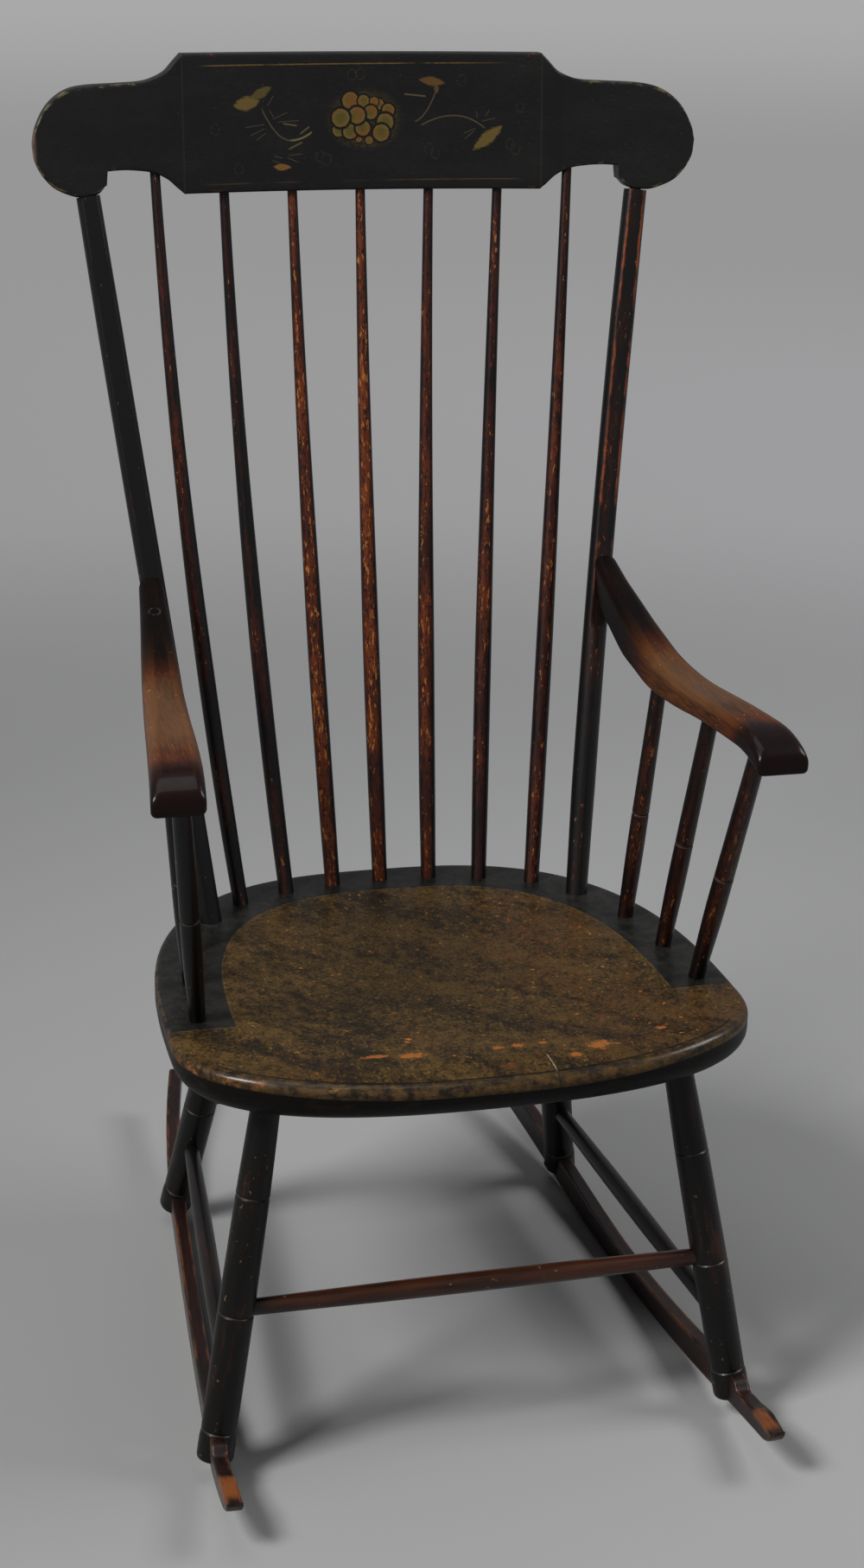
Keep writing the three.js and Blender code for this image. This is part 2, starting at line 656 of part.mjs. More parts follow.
function armUnderHeight(y) {
  const share = (y - ARM_FRONT_Y) / armLength;
  const intoNose = clamp((ARM_FRONT_Y + ARM_ROLL_LENGTH - y) / ARM_ROLL_LENGTH, 0, 1);
  const thickness = lerp(ARM_THICKNESS, ARM_HEEL_THICKNESS, armThickening(share));
  const dip = (ARM_ROLL_DROP - ARM_THICKNESS / 2) * intoNose ** 2;
  return ARM_LOW_HEIGHT + ARM_RISE * armTopRise(share) - thickness - dip;
}

function armEdges(y) {
  const back = 1 - (y - ARM_FRONT_Y) / armLength;
  const inward = clamp(back, 0, 1);
  return {
    inner: lerp(ARM_REAR_INNER_X, ARM_FRONT_INNER_X, inward ** ARM_INNER_POWER),
    outer: lerp(ARM_REAR_OUTER_X, ARM_FRONT_OUTER_X, inward ** ARM_OUTER_POWER),
  };
}

function armSection(side, y, shrink) {
  const { inner, outer } = armEdges(y);
  const left = inner + shrink;
  const right = outer - shrink;
  const top = armTopHeight(y);
  const bottom = armUnderHeight(y);
  const edge = Math.min(ARM_EDGE_ROUND, (top - bottom) * edgeLimitShare);
  const outerEdge = Math.min(ARM_TOP_OUTER_ROUND, (top - bottom) * edgeLimitShare);
  const bend = edge * (1 - Math.SQRT1_2);
  const outerBend = outerEdge * (1 - Math.SQRT1_2);
  const corner = (x, z) => new THREE.Vector3(side * x, y, z);
  const ring = [
    corner(left + edge, bottom), corner(left + bend, bottom + bend), corner(left, bottom + edge),
    corner(left, top - edge), corner(left + bend, top - bend), corner(left + edge, top),
    corner(right - outerEdge, top), corner(right - outerBend, top - outerBend),
    corner(right, top - outerEdge),
    corner(right, bottom + edge), corner(right - bend, bottom + bend), corner(right - edge, bottom),
  ];
  return side > 0 ? ring : ring.reverse();
}

function armStations() {
  const stations = noseShares.map((share) => ARM_FRONT_Y + ARM_ROLL_LENGTH * share);
  const run = ARM_REAR_Y - ARM_FRONT_Y - ARM_ROLL_LENGTH;
  for (let i = 0; i <= ARM_STATIONS; i += 1) {
    stations.push(ARM_FRONT_Y + ARM_ROLL_LENGTH + (run * i) / ARM_STATIONS);
  }
  return stations;
}

function buildArm(side, label) {
  const rings = armStations().map((y, i) => armSection(side, y, i === 0 ? ARM_TIP_SHRINK : 0));
  const arm = addPiece(`${label}_arm`, skin(rings), WORN_MAHOGANY);

  // The heel is planed to lie against the flat of the back post
  const line = postLine(side);
  const share = postShareAt((heelTop + heelBottom) / 2);
  const along = stickDirection(line, share);
  const across = X_AXIS.clone().addScaledVector(along, -along.x).normalize();
  const front = across.clone().cross(along);
  const size = ARM_HEEL_THICKNESS * 4;
  const block = new THREE.Mesh(new THREE.BoxGeometry(size, size, size));
  block.quaternion.setFromRotationMatrix(new THREE.Matrix4().makeBasis(across, along, front));
  block.position.copy(line(share)).addScaledVector(front, postFlatDepth + FIT - size / 2);
  cut(arm, block);

  // A peg runs from the back of the post into the heel
  const pegPlace = line(postShareAt(lerp(heelBottom, heelTop, armPegShare)));
  const back = pegPlace.clone().addScaledVector(front, -POST_RADIUS + FIT * 2);
  const tip = pegPlace.clone().addScaledVector(front, postFlatDepth + ARM_PEG_REACH);
  const beyond = tip.clone().addScaledVector(front, FIT);
  const before = back.clone().addScaledVector(front, -OVERRUN);
  cut(arm, bore(before, beyond, ARM_PEG_RADIUS));
  cut(posts[label], bore(before, beyond, ARM_PEG_RADIUS));
  const pegLength = back.distanceTo(tip);
  const pegProfile = [[0, ARM_PEG_RADIUS], [pegLength, ARM_PEG_RADIUS]];
  turned(`${label}_arm_peg`, back, tip, pegProfile, PEG_SIDES, BARE_WOOD);
  return arm;
}

// Arm supports: a front post and two spindles under each arm

function buildSupport(side, label, arm, name, support) {
  const foot = new THREE.Vector3(side * support.footX, support.footY, SEAT_HEIGHT);
  const head = new THREE.Vector3(side * support.headX, support.headY, armUnderHeight(support.headY));
  const line = stickLine(foot, head, new THREE.Vector3());
  const length = foot.distanceTo(head);
  const tip = line(-SUPPORT_FOOT_TENON / length);
  const top = line(1 + SUPPORT_HEAD_TENON / length);
  const bellyAt = SUPPORT_FOOT_TENON + length * supportBellyShare;
  const ringAt = SUPPORT_FOOT_TENON + length * supportRingShare;
  const headAt = SUPPORT_FOOT_TENON + length;
  const ringRadius = mapLinear(ringAt, bellyAt, headAt, support.radius, support.tipRadius);
  turned(`${label}_${name}`, tip, top, [
    [0, SUPPORT_FOOT_RADIUS],
    [SUPPORT_FOOT_TENON + SUPPORT_FOOT_RADIUS, SUPPORT_FOOT_RADIUS],
    [bellyAt, support.radius],
    ...scoredRing(ringAt, ringRadius),
    [headAt - OVERRUN, support.tipRadius],
    [headAt + SUPPORT_HEAD_TENON, support.tipRadius],
  ], SPINDLE_SIDES, STREAKED_PAINT);
  boreSockets(line, SUPPORT_FOOT_TENON, SUPPORT_FOOT_RADIUS, arm, SUPPORT_HEAD_TENON, support.tipRadius);
}

for (const { side, label } of SIDES) {
  const arm = buildArm(side, label);
  buildSupport(side, label, arm, 'arm_front_post', ARM_FRONT_POST);
  buildSupport(side, label, arm, 'arm_spindle_front', ARM_SPINDLE_FRONT);
  buildSupport(side, label, arm, 'arm_spindle_rear', ARM_SPINDLE_REAR);
}

// Legs

function legPoints(side, leg) {
  return {
    foot: new THREE.Vector3(side * leg.footX + leg.footSkew, leg.footY, leg.footZ),
    top: new THREE.Vector3(side * leg.topX, leg.topY, seatUnderside),
  };
}

// How far up from the foot a leg's rings are scored, the lowest ring first
function ringDistance(leg, number) {
  return LEG_LOW_RING + leg.ringSpacing * number;
}

// The point on a leg's centre line at a distance up from its foot
function legPoint(side, leg, distance) {
  const { foot, top } = legPoints(side, leg);
  return foot.clone().addScaledVector(top.clone().sub(foot).normalize(), distance);
}

function buildLeg(side, label, leg) {
  const { foot, top } = legPoints(side, leg);
  const length = foot.distanceTo(top);
  const end = legPoint(side, leg, length + LEG_TENON);
  const piece = turned(label, foot, end, [
    [0, LEG_FOOT_RADIUS - LEG_FOOT_CHAMFER / 2],
    [LEG_FOOT_CHAMFER, LEG_FOOT_RADIUS],
    [ringDistance(leg, 0) - RING_WIDTH * 2, LEG_FOOT_RADIUS],
    ...scoredRing(ringDistance(leg, 0), LEG_LOW_RADIUS),
    ...scoredRing(ringDistance(leg, 1), LEG_BELLY_RADIUS),
    ...scoredRing(ringDistance(leg, 2), LEG_UPPER_RADIUS),
    [length - LEG_STRAIGHT, LEG_TOP_RADIUS],
    [length + LEG_TENON, LEG_TOP_RADIUS],
  ], LEG_SIDES, BLACK_PAINT);
  const down = legPoint(side, leg, length - OVERRUN * 2);
  cut(seat, bore(down, legPoint(side, leg, length + LEG_TENON + FIT), LEG_TOP_RADIUS));
  return piece;
}

const legs = {};
for (const { side, label } of SIDES) {
  legs[`${label}_front_leg`] = buildLeg(side, `${label}_front_leg`, FRONT_LEG);
  legs[`${label}_back_leg`] = buildLeg(side, `${label}_back_leg`, BACK_LEG);
}

// Stretchers, each turned thin at its ends and let into the two legs

function buildStretcher(name, from, to, hosts, finish) {
  const reach = to.clone().sub(from).normalize();
  const start = from.clone().addScaledVector(reach, -STRETCHER_PAST_AXIS);
  const stop = to.clone().addScaledVector(reach, STRETCHER_PAST_AXIS);
  const length = start.distanceTo(stop);
  const inLeg = LEG_BELLY_RADIUS * 2;
  turned(name, start, stop, [
    [0, STRETCHER_END_RADIUS],
    [inLeg, STRETCHER_END_RADIUS],
    ...stretcherSwellShares.map(([along, swell]) => [
      length * along, lerp(STRETCHER_END_RADIUS, STRETCHER_MIDDLE_RADIUS, swell),
    ]),
    [length - inLeg, STRETCHER_END_RADIUS],
    [length, STRETCHER_END_RADIUS],
  ], SPINDLE_SIDES, finish);
  const outward = inLeg + FIT;
  for (const [host, end, way] of [[hosts[0], start, 1], [hosts[1], stop, -1]]) {
    const deep = end.clone().addScaledVector(reach, -FIT * way);
    cut(host, bore(deep, end.clone().addScaledVector(reach, outward * way), STRETCHER_END_RADIUS));
  }
}

// A stretcher that runs across from the left leg of a pair to the right one, just over their middle rings
function buildCrossStretcher(name, leg, pair, overRing, finish) {
  const up = ringDistance(leg, 1) + overRing;
  buildStretcher(name, legPoint(-1, leg, up), legPoint(1, leg, up), pair, finish);
}

buildCrossStretcher('front_stretcher', FRONT_LEG, [legs.left_front_leg, legs.right_front_leg],
  FRONT_STRETCHER_OVER_RING, STREAKED_PAINT);
buildCrossStretcher('back_stretcher', BACK_LEG, [legs.left_back_leg, legs.right_back_leg],
  BACK_STRETCHER_OVER_RING, BLACK_PAINT);
for (const { side, label } of SIDES) {
  const front = legPoint(side, FRONT_LEG, ringDistance(FRONT_LEG, sideStretcherFrontShare));
  const back = legPoint(side, BACK_LEG, ringDistance(BACK_LEG, sideStretcherBackShare));
  const pair = [legs[`${label}_front_leg`], legs[`${label}_back_leg`]];
  buildStretcher(`${label}_side_stretcher`, front, back, pair, BLACK_PAINT);
}

// Rockers. Each blade stands upright and runs through the slots of a front and a back foot.

// The underside is an arc, sawn as short flats with the lowest flat on the floor
function rockerUnder(y) {
  const arc = (place) => ROCKER_RADIUS - Math.sqrt(ROCKER_RADIUS ** 2 - place ** 2);
  const from = (Math.floor((y - ROCKER_LOW_Y) / ROCKER_FACET + 0.5) - 0.5) * ROCKER_FACET;
  const share = (y - ROCKER_LOW_Y - from) / ROCKER_FACET;
  return lerp(arc(from), arc(from + ROCKER_FACET), share) - arc(ROCKER_FACET / 2);
}

// Height over a row of [place, height] points that eases from each to the next
function easedHeight(points) {
  return (place) => {
    const next = Math.max(1, points.findIndex((point) => point[0] >= place));
    const [from, low] = points[next - 1];
    const [to, high] = points[next];
    return lerp(low, high, smoothstep(place, from, to));
  };
}

// The blade's top and underside along its length, with a straight land under each foot
function rockerProfile(frontFoot, backFoot) {
  const nose = -ROCKER_NOSE_REACH;
  const tail = ROCKER_TAIL_REACH;
  const landHalf = ROCKER_LAND_LENGTH / 2;
  const frontLand = [frontFoot - landHalf, frontFoot + landHalf];
  const backLand = [backFoot - landHalf, backFoot + landHalf];
  const noseAt = (share) => lerp(nose, frontLand[0], share);
  const thickness = easedHeight([
    [nose, ROCKER_TIP_HEIGHT],
    [noseAt(humpShare), ROCKER_HUMP_HEIGHT],
    ...scoopShares.map((share) => [noseAt(share), ROCKER_SCOOP_HEIGHT]),
    [frontLand[0], ROCKER_LAND_HEIGHT],
    [frontLand[1], ROCKER_LAND_HEIGHT],
    [(frontLand[1] + backLand[0]) / 2, ROCKER_WAIST],
    [backLand[0], ROCKER_LAND_HEIGHT],
    [backLand[1], ROCKER_LAND_HEIGHT],
    [tail, ROCKER_TAIL_HEIGHT],
  ]);
  const roundOff = (distance, length) => 1 - Math.sqrt(1 - (1 - Math.min(distance / length, 1)) ** 2);
  const tailRound = (y) => ROCKER_TAIL_ROUND * roundOff(tail - y, ROCKER_TAIL_ROUND);
  const under = (y) => rockerUnder(y)
    + (ROCKER_TIP_HEIGHT - ROCKER_EDGE_ROUND * 2) * roundOff(y - nose, ROCKER_NOSE_ROUND)
    + tailRound(y);
  const over = (y) => {
    const land = [frontLand, backLand].find(([from, to]) => y >= from && y <= to);
    if (!land) return rockerUnder(y) + thickness(y) - tailRound(y);
    const share = (y - land[0]) / ROCKER_LAND_LENGTH;
    return lerp(rockerUnder(land[0]), rockerUnder(land[1]), share) + ROCKER_LAND_HEIGHT;
  };
  const stations = [
    ...rockerEndShares.map((share) => nose + ROCKER_NOSE_ROUND * share),
    ...rockerEndShares.map((share) => tail - ROCKER_TAIL_ROUND * share),
    ...frontLand, ...backLand,
    ...[humpShare, ...scoopShares, scoopRiseShare].map(noseAt),
  ];
  const shorterReach = Math.min(ROCKER_NOSE_REACH + ROCKER_LOW_Y, ROCKER_TAIL_REACH - ROCKER_LOW_Y);
  const steps = Math.floor(shorterReach / ROCKER_FACET - 0.5);
  for (let i = -steps; i <= steps + 1; i += 1) stations.push(ROCKER_LOW_Y + (i - 0.5) * ROCKER_FACET);
  stations.sort((a, b) => a - b);
  const apart = stations.filter((y, i) => i === 0 || y - stations[i - 1] > ROCKER_STATION_APART);
  return { stations: apart, under, over };
}

function rockerSection(y, bottom, top, shift) {
  const half = ROCKER_THICKNESS / 2;
  const edge = Math.min(ROCKER_EDGE_ROUND, (top - bottom) * edgeLimitShare);
  const corner = (x, z) => new THREE.Vector3(x + shift, y, z);
  return [
    corner(-half, bottom + edge), corner(-half, top - edge),
    corner(edge - half, top), corner(half - edge, top),
    corner(half, top - edge), corner(half, bottom + edge),
    corner(half - edge, bottom), corner(edge - half, bottom),
  ];
}

// The blade runs straight between the feet and bends inwards beyond them
function rockerToeIn(y, frontFoot, backFoot) {
  const pastFront = Math.max(0, (frontFoot - y) / (frontFoot + ROCKER_NOSE_REACH));
  const pastBack = Math.max(0, (y - backFoot) / (ROCKER_TAIL_REACH - backFoot));
  return ROCKER_NOSE_TOE_IN * pastFront ** 2 + ROCKER_TAIL_TOE_IN * pastBack ** 2;
}

// A block that clears the blade inside a foot's slot, its top parallel to the land
function footSlot(centre, turn, landTop, slope) {
  const width = ROCKER_THICKNESS + FIT * 2;
  const height = LEG_LOW_RING * 3;
  const tool = new THREE.Mesh(new THREE.BoxGeometry(width, LEG_FOOT_RADIUS * 6, height));
  tool.rotation.set(slope, 0, turn, 'ZYX');
  const up = new THREE.Vector3(0, 0, 1).applyEuler(tool.rotation);
  tool.position.set(centre.x, centre.y, landTop + FIT).addScaledVector(up, -height / 2);
  return tool;
}

function buildRocker(side, label) {
  const frontMiddle = legPoint(side, FRONT_LEG, LEG_LOW_RING / 2);
  const backMiddle = legPoint(side, BACK_LEG, LEG_LOW_RING / 2);
  const turn = Math.atan2(frontMiddle.x - backMiddle.x, backMiddle.y - frontMiddle.y);
  const overOriginShare = frontMiddle.y / (frontMiddle.y - backMiddle.y);
  const centre = frontMiddle.clone().lerp(backMiddle, overOriginShare).setZ(0);
  const along = (point) => Math.sign(point.y) * Math.hypot(point.x - centre.x, point.y - centre.y);
  const frontFoot = along(frontMiddle);
  const backFoot = along(backMiddle);
  const { stations, under, over } = rockerProfile(frontFoot, backFoot);
  const inward = (y) => -side * rockerToeIn(y, frontFoot, backFoot);
  const rings = stations.map((y) => rockerSection(y, under(y), over(y), inward(y)));
  const rocker = addPiece(`${label}_rocker`, skin(rings), BLACK_PAINT);
  rocker.position.copy(centre);
  rocker.rotation.z = turn;
  for (const [place, middle, end] of [[frontFoot, frontMiddle, 'front'], [backFoot, backMiddle, 'back']]) {
    const leg = legs[`${label}_${end}_leg`];
    const landHalf = ROCKER_LAND_LENGTH / 2;
    const slope = Math.atan2(over(place + landHalf) - over(place - landHalf), ROCKER_LAND_LENGTH);
    cut(leg, footSlot(middle, turn, over(place), slope));
    const pegCentre = middle.clone().setZ(under(place) + ROCKER_PEG_HEIGHT);
    const axis = new THREE.Vector3(Math.cos(turn), Math.sin(turn), 0);
    const half = LEG_FOOT_RADIUS - ROCKER_PEG_INSET;
    const from = pegCentre.clone().addScaledVector(axis, -half);
    const to = pegCentre.clone().addScaledVector(axis, half);
    const before = from.clone().addScaledVector(axis, -OVERRUN);
    const after = to.clone().addScaledVector(axis, OVERRUN);
    cut(leg, bore(before, after, ROCKER_PEG_RADIUS));
    cut(rocker, bore(before, after, ROCKER_PEG_RADIUS));
    turned(`${label}_${end}_rocker_peg`, from, to, [[0, ROCKER_PEG_RADIUS], [half * 2, ROCKER_PEG_RADIUS]],
      PEG_SIDES, BARE_WOOD);
  }
}

for (const { side, label } of SIDES) buildRocker(side, label);

// Crest pegs, driven from behind through the tenons of the back posts

for (const { side, label } of SIDES) {
  const line = postLine(side);
  const place = line(1).addScaledVector(stickDirection(line, 1), POST_HEAD_TENON / 2);
  const face = crestFace(place.x, place.z);
  const from = new THREE.Vector3(place.x, face + CREST_PEG_STOP, place.z);
  const to = new THREE.Vector3(place.x, face + CREST_THICKNESS - FIT, place.z);
  const before = from.clone().addScaledVector(Y_AXIS, -FIT);
  const after = to.clone().addScaledVector(Y_AXIS, OVERRUN);
  cut(crest, bore(before, after, CREST_PEG_RADIUS));
  cut(posts[label], bore(before, after, CREST_PEG_RADIUS));
  turned(`${label}_crest_peg`, from, to, [[0, CREST_PEG_RADIUS], [from.distanceTo(to), CREST_PEG_RADIUS]],
    PEG_SIDES, BARE_WOOD);
}

// Stand the chair with the middle of its floor space at the origin
const middle = new THREE.Box3().setFromObject(chair).getCenter(new THREE.Vector3());
chair.position.y = -middle.y;

export default chair;
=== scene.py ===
"""A Boston rocking chair in worn black, red-brown and olive paint, dressed over its measured solids.

Sizes are millimetres in the maker's own frame: x across the chair, y from front to back, z up from the floor,
with the rockers touching the floor on y = 0. Each mesh is brought to metres and to the chair's place as it is made.
"""
import math
import bpy
import numpy as np
from mathutils import Matrix, Vector


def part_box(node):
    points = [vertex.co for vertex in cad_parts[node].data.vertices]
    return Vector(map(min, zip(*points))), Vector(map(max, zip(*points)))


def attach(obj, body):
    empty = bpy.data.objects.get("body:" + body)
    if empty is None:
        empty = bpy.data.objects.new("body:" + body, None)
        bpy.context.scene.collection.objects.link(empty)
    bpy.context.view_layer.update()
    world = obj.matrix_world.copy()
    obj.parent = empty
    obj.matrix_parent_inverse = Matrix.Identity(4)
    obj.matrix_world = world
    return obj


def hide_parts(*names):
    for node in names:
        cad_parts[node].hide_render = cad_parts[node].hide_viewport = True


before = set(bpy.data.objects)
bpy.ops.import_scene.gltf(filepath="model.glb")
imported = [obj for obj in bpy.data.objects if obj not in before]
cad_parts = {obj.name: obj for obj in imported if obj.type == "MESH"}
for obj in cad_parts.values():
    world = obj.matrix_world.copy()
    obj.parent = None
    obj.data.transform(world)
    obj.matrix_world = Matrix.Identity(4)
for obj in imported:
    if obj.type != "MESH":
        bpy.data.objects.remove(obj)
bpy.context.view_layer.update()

# Camera
# The photograph is taken from the chair's front left, from a little above the arms, with a long lens. The
# camera stands where the outlines of seat, crest, legs and rockers all fall on those of the photograph.

camera = bpy.data.objects.new("camera", bpy.data.cameras.new("camera"))
bpy.context.scene.collection.objects.link(camera)
bpy.context.scene.camera = camera
camera.data.sensor_fit = "AUTO"
camera.data.sensor_width = 36
camera.data.lens = 59.577
camera.data.shift_x = 0.00606
camera.data.shift_y = 0.00386
turn, tilt, roll = math.radians(13.87), math.radians(19.57), math.radians(0.81)
ahead = Vector((math.sin(turn) * math.cos(tilt), math.cos(turn) * math.cos(tilt), -math.sin(tilt)))
level = Vector((math.cos(turn), -math.sin(turn), 0))
upright = level.cross(ahead)
right = level * math.cos(roll) + upright * math.sin(roll)
above = upright * math.cos(roll) - level * math.sin(roll)
turned = Matrix((right, above, -ahead)).transposed().to_4x4()
camera.matrix_world = Matrix.Translation((-0.533, -2.18733, 1.315)) @ turned

# Light and backdrop
# A studio with a strong soft lamp at the upper left, a weaker one at the upper right and a faint one overhead.
# Grey paper lies under the chair, with painted shade that darkens it to the left and front. Further out it is
# black and carries a painted glow, as the grey air round it does.

bpy.context.scene.view_settings.view_transform = "Standard"


def add_lamp(name, place, target, width, power):
    """A square lamp at place that looks at target."""
    lamp = bpy.data.objects.new(name, bpy.data.lights.new(name, "AREA"))
    bpy.context.scene.collection.objects.link(lamp)
    lamp.data.shape = "SQUARE"
    lamp.data.size = width
    lamp.data.energy = power
    lamp.location = place
    lamp.rotation_euler = (Vector(target) - Vector(place)).to_track_quat("-Z", "Y").to_euler()


add_lamp("key_lamp", (-2.0, -1.0, 2.5), (0, 0, 0.5), 0.9, 84)
add_lamp("fill_lamp", (2.2, -0.5, 2.4), (0, 0, 0.4), 1.1, 36)
add_lamp("top_lamp", (-0.3, 0.2, 3.0), (0.1, 0.3, 0), 1.7, 12)


def tone(code):
    """The linear colour of a written colour such as #808080."""
    parts = [int(code[i:i + 2], 16) / 255 for i in (1, 3, 5)]
    return [c / 12.92 if c <= 0.04045 else ((c + 0.055) / 1.055) ** 2.4 for c in parts] + [1]


class Flow:
    """What comes out of a node. Sums, products and the like of it are worked out by maths nodes."""

    def __init__(self, graph, socket):
        self.graph = graph
        self.socket = socket

    def maths(self, operation, first, second=0):
        return self.graph.node("Math", {"operation": operation}, {0: first, 1: second})

    __add__ = __radd__ = lambda self, other: self.maths("ADD", self, other)
    __mul__ = __rmul__ = lambda self, other: self.maths("MULTIPLY", self, other)
    __sub__ = lambda self, other: self.maths("SUBTRACT", self, other)
    __rsub__ = lambda self, other: self.maths("SUBTRACT", other, self)
    __truediv__ = lambda self, other: self.maths("DIVIDE", self, other)
    __pow__ = lambda self, other: self.maths("POWER", self, other)
    __abs__ = lambda self: self.maths("ABSOLUTE", self)

    def rise(self, low, high):
        """Eases from 0 at low to 1 at high, or the other way round where low is above high."""
        ends = {"Value": self, "From Min": low, "From Max": high}
        return self.graph.node("MapRange", {"interpolation_type": "SMOOTHSTEP"}, ends)

    def within(self, low, high, soft):
        """1 between low and high, and 0 outside, with soft edges."""
        return self.rise(low - soft, low + soft) * self.rise(high + soft, high - soft)


class Graph:
    """The nodes of a material or of the world."""

    def __init__(self, tree):
        self.tree = tree

    def node(self, kind, settings, given, output=0):
        """Adds a node of a kind, sets it up, and puts a value or a flow into each socket that is given."""
        made = self.tree.nodes.new("ShaderNode" + kind)
        for name, setting in settings.items():
            setattr(made, name, setting)
        for name, value in given.items():
            if isinstance(value, Flow):
                self.tree.links.new(value.socket, made.inputs[name])
            else:
                made.inputs[name].default_value = value
        return Flow(self, made.outputs[output])

    def spot(self):
        """The place on an object in metres."""
        return self.node("TexCoord", {}, {}, "Object")

    def mark(self, name, output="Fac"):
        """A number kept at every point of the mesh."""
        return self.node("Attribute", {"attribute_name": name}, {}, output)

    def split(self, vector):
        """The three parts of a vector."""
        return [Flow(self, socket) for socket in self.node("SeparateXYZ", {}, {0: vector}).socket.node.outputs]

    def stretched(self, vector, factors):
        """A vector with each part multiplied by its own factor."""
        return self.node("VectorMath", {"operation": "MULTIPLY"}, {0: vector, 1: factors})

    def noise(self, vector, scale, detail=2.0, rough=0.5):
        """Cloudy noise about one half, with a number of clouds to the metre."""
        given = {"Vector": vector, "Scale": scale, "Detail": detail, "Roughness": rough}
        return self.node("TexNoise", {}, given)

    def mix(self, share, first, second):
        """The first colour where the share is 0 and the second where it is 1."""
        colours = [tone(c) if isinstance(c, str) else c for c in (first, second)]
        return self.node("Mix", {"data_type": "RGBA"}, {0: share, 6: colours[0], 7: colours[1]}, 2)


class Finish(Graph):
    """One paint or bare wood in the making: the nodes of a material, and its colour so far."""

    def __init__(self, name, **fixed):
        self.material = bpy.data.materials.new(name)
        self.material.use_nodes = True
        super().__init__(self.material.node_tree)
        self.shader = self.tree.nodes["Principled BSDF"]
        self.shader.inputs["Specular IOR Level"].default_value = 0.22
        for socket, value in fixed.items():
            self.shader.inputs[socket.replace("_", " ")].default_value = value

    def wood(self, run, scale, detail=2.0, rough=0.5, across=1):
        """Noise in the wood: run is how fast it changes along the grain, against how fast it does across it."""
        grain = self.mark("grain", "Vector")
        return self.noise(self.stretched(grain, (across, across, run)), scale, detail, rough)

    def lay(self, share, shade):
        """Lays a shade over the colour so far."""
        self.colour = self.mix(share, self.colour, shade)

    def place(self):
        """The place on the chair in millimetres, in the maker's frame."""
        x, y, z = self.split(self.spot())
        return x * 1000, y * 1000 - SHIFT_Y, z * 1000

    def set(self, **flows):
        """Leads the colour so far and other flows into the shader; height is in millimetres and tips the surface."""
        for name, flow in {"Base_Color": self.colour, **flows}.items():
            if name == "height":
                flow = self.node("Bump", {}, {"Height": flow, "Distance": 0.001, "Strength": 1.0})
                name = "Normal"
            self.tree.links.new(flow.socket, self.shader.inputs[name.replace("_", " ")])


def show(name, points, faces):
    """An object made of points in metres and faces."""
    mesh = bpy.data.meshes.new(name)
    mesh.from_pydata(points, [], faces)
    piece = bpy.data.objects.new(name, mesh)
    bpy.context.scene.collection.objects.link(piece)
    mesh.shade_smooth()
    return piece


def joined(*parts):
    """Points or vectors out of their parts, each of them a number or an array."""
    return np.stack(np.broadcast_arrays(*parts), axis=-1)


def whole_turn(count):
    """The angles of a number of points round a circle."""
    return np.linspace(0, 2 * math.pi, count, endpoint=False)


def grid_faces(count, around):
    """The squares between rows of points, each of which runs once round."""
    corner = np.arange(count)[:, None] * around + np.arange(around)
    beside = np.roll(corner, -1, axis=1)
    return np.stack([corner[:-1], beside[:-1], beside[1:], corner[1:]], axis=-1).reshape(-1, 4)


def make_floor():
    """Rings of points about the origin: the radius grows to 8 m with the square of the ring's number."""
    count, around = 40, 96
    angle = whole_turn(around)
    reach = 8 * np.linspace(1 / count, 1, count)[:, None] ** 2
    rings = joined(reach * np.cos(angle), reach * np.sin(angle), 0)
    quads = grid_faces(count, around)[:, ::-1]
    return show("floor", rings.reshape(-1, 3).tolist(), quads.tolist() + [list(range(around))])


paper = Finish("grey_paper", Roughness=0.9, Specular_IOR_Level=0, Emission_Strength=1)
sideways, deep, _ = paper.split(paper.spot())
# Painted shade: the paper is darker to the left and front and lighter to the right and back.
shade = (sideways * 1.4 + deep * 0.6 + paper.noise(paper.spot(), 0.7, 3) * 0.4).rise(-2.2, 3)
reach = (sideways ** 2 + deep ** 2) ** 0.5
# Painted glow: past about 1.2 m the paper turns black and glows grey, a little lighter to the right.
far = reach.rise(1.2, 3.4)
painted_glow = paper.mix(reach.rise(4, 7.6), paper.mix(sideways.rise(-3, 3), "#929291", "#9e9ea0"), "#979797")
paper.colour = paper.mix(far, paper.mix(shade, "#8c8c8b", "#bebebe"), "#000000")
paper.set(Emission_Color=paper.mix(far, "#000000", painted_glow))
floor = make_floor()
floor.data.materials.append(paper.material)

world = bpy.data.worlds.new("studio")
bpy.context.scene.world = world
world.use_nodes = True
air = Graph(world.node_tree)
_, _, up = air.split(air.node("TexCoord", {}, {}, "Generated"))
seen = air.node("LightPath", {}, {}, "Is Camera Ray") + air.node("LightPath", {}, {}, "Is Glossy Ray") * 0.6
grey = air.mix(up.rise(-0.1, -0.045), "#979797", "#a9a9aa")
glow = air.mix(seen, [0.065, 0.068, 0.072, 1], grey)
air.tree.links.new(glow.socket, air.tree.nodes["Background"].inputs["Color"])

# Seat
# One plank of pine, sawn to a rounded outline, hollowed a little and rolled down in front, and bored for legs,
# posts and spindles. It is painted black, and its hollow is grained in olive and ochre inside a dark band.

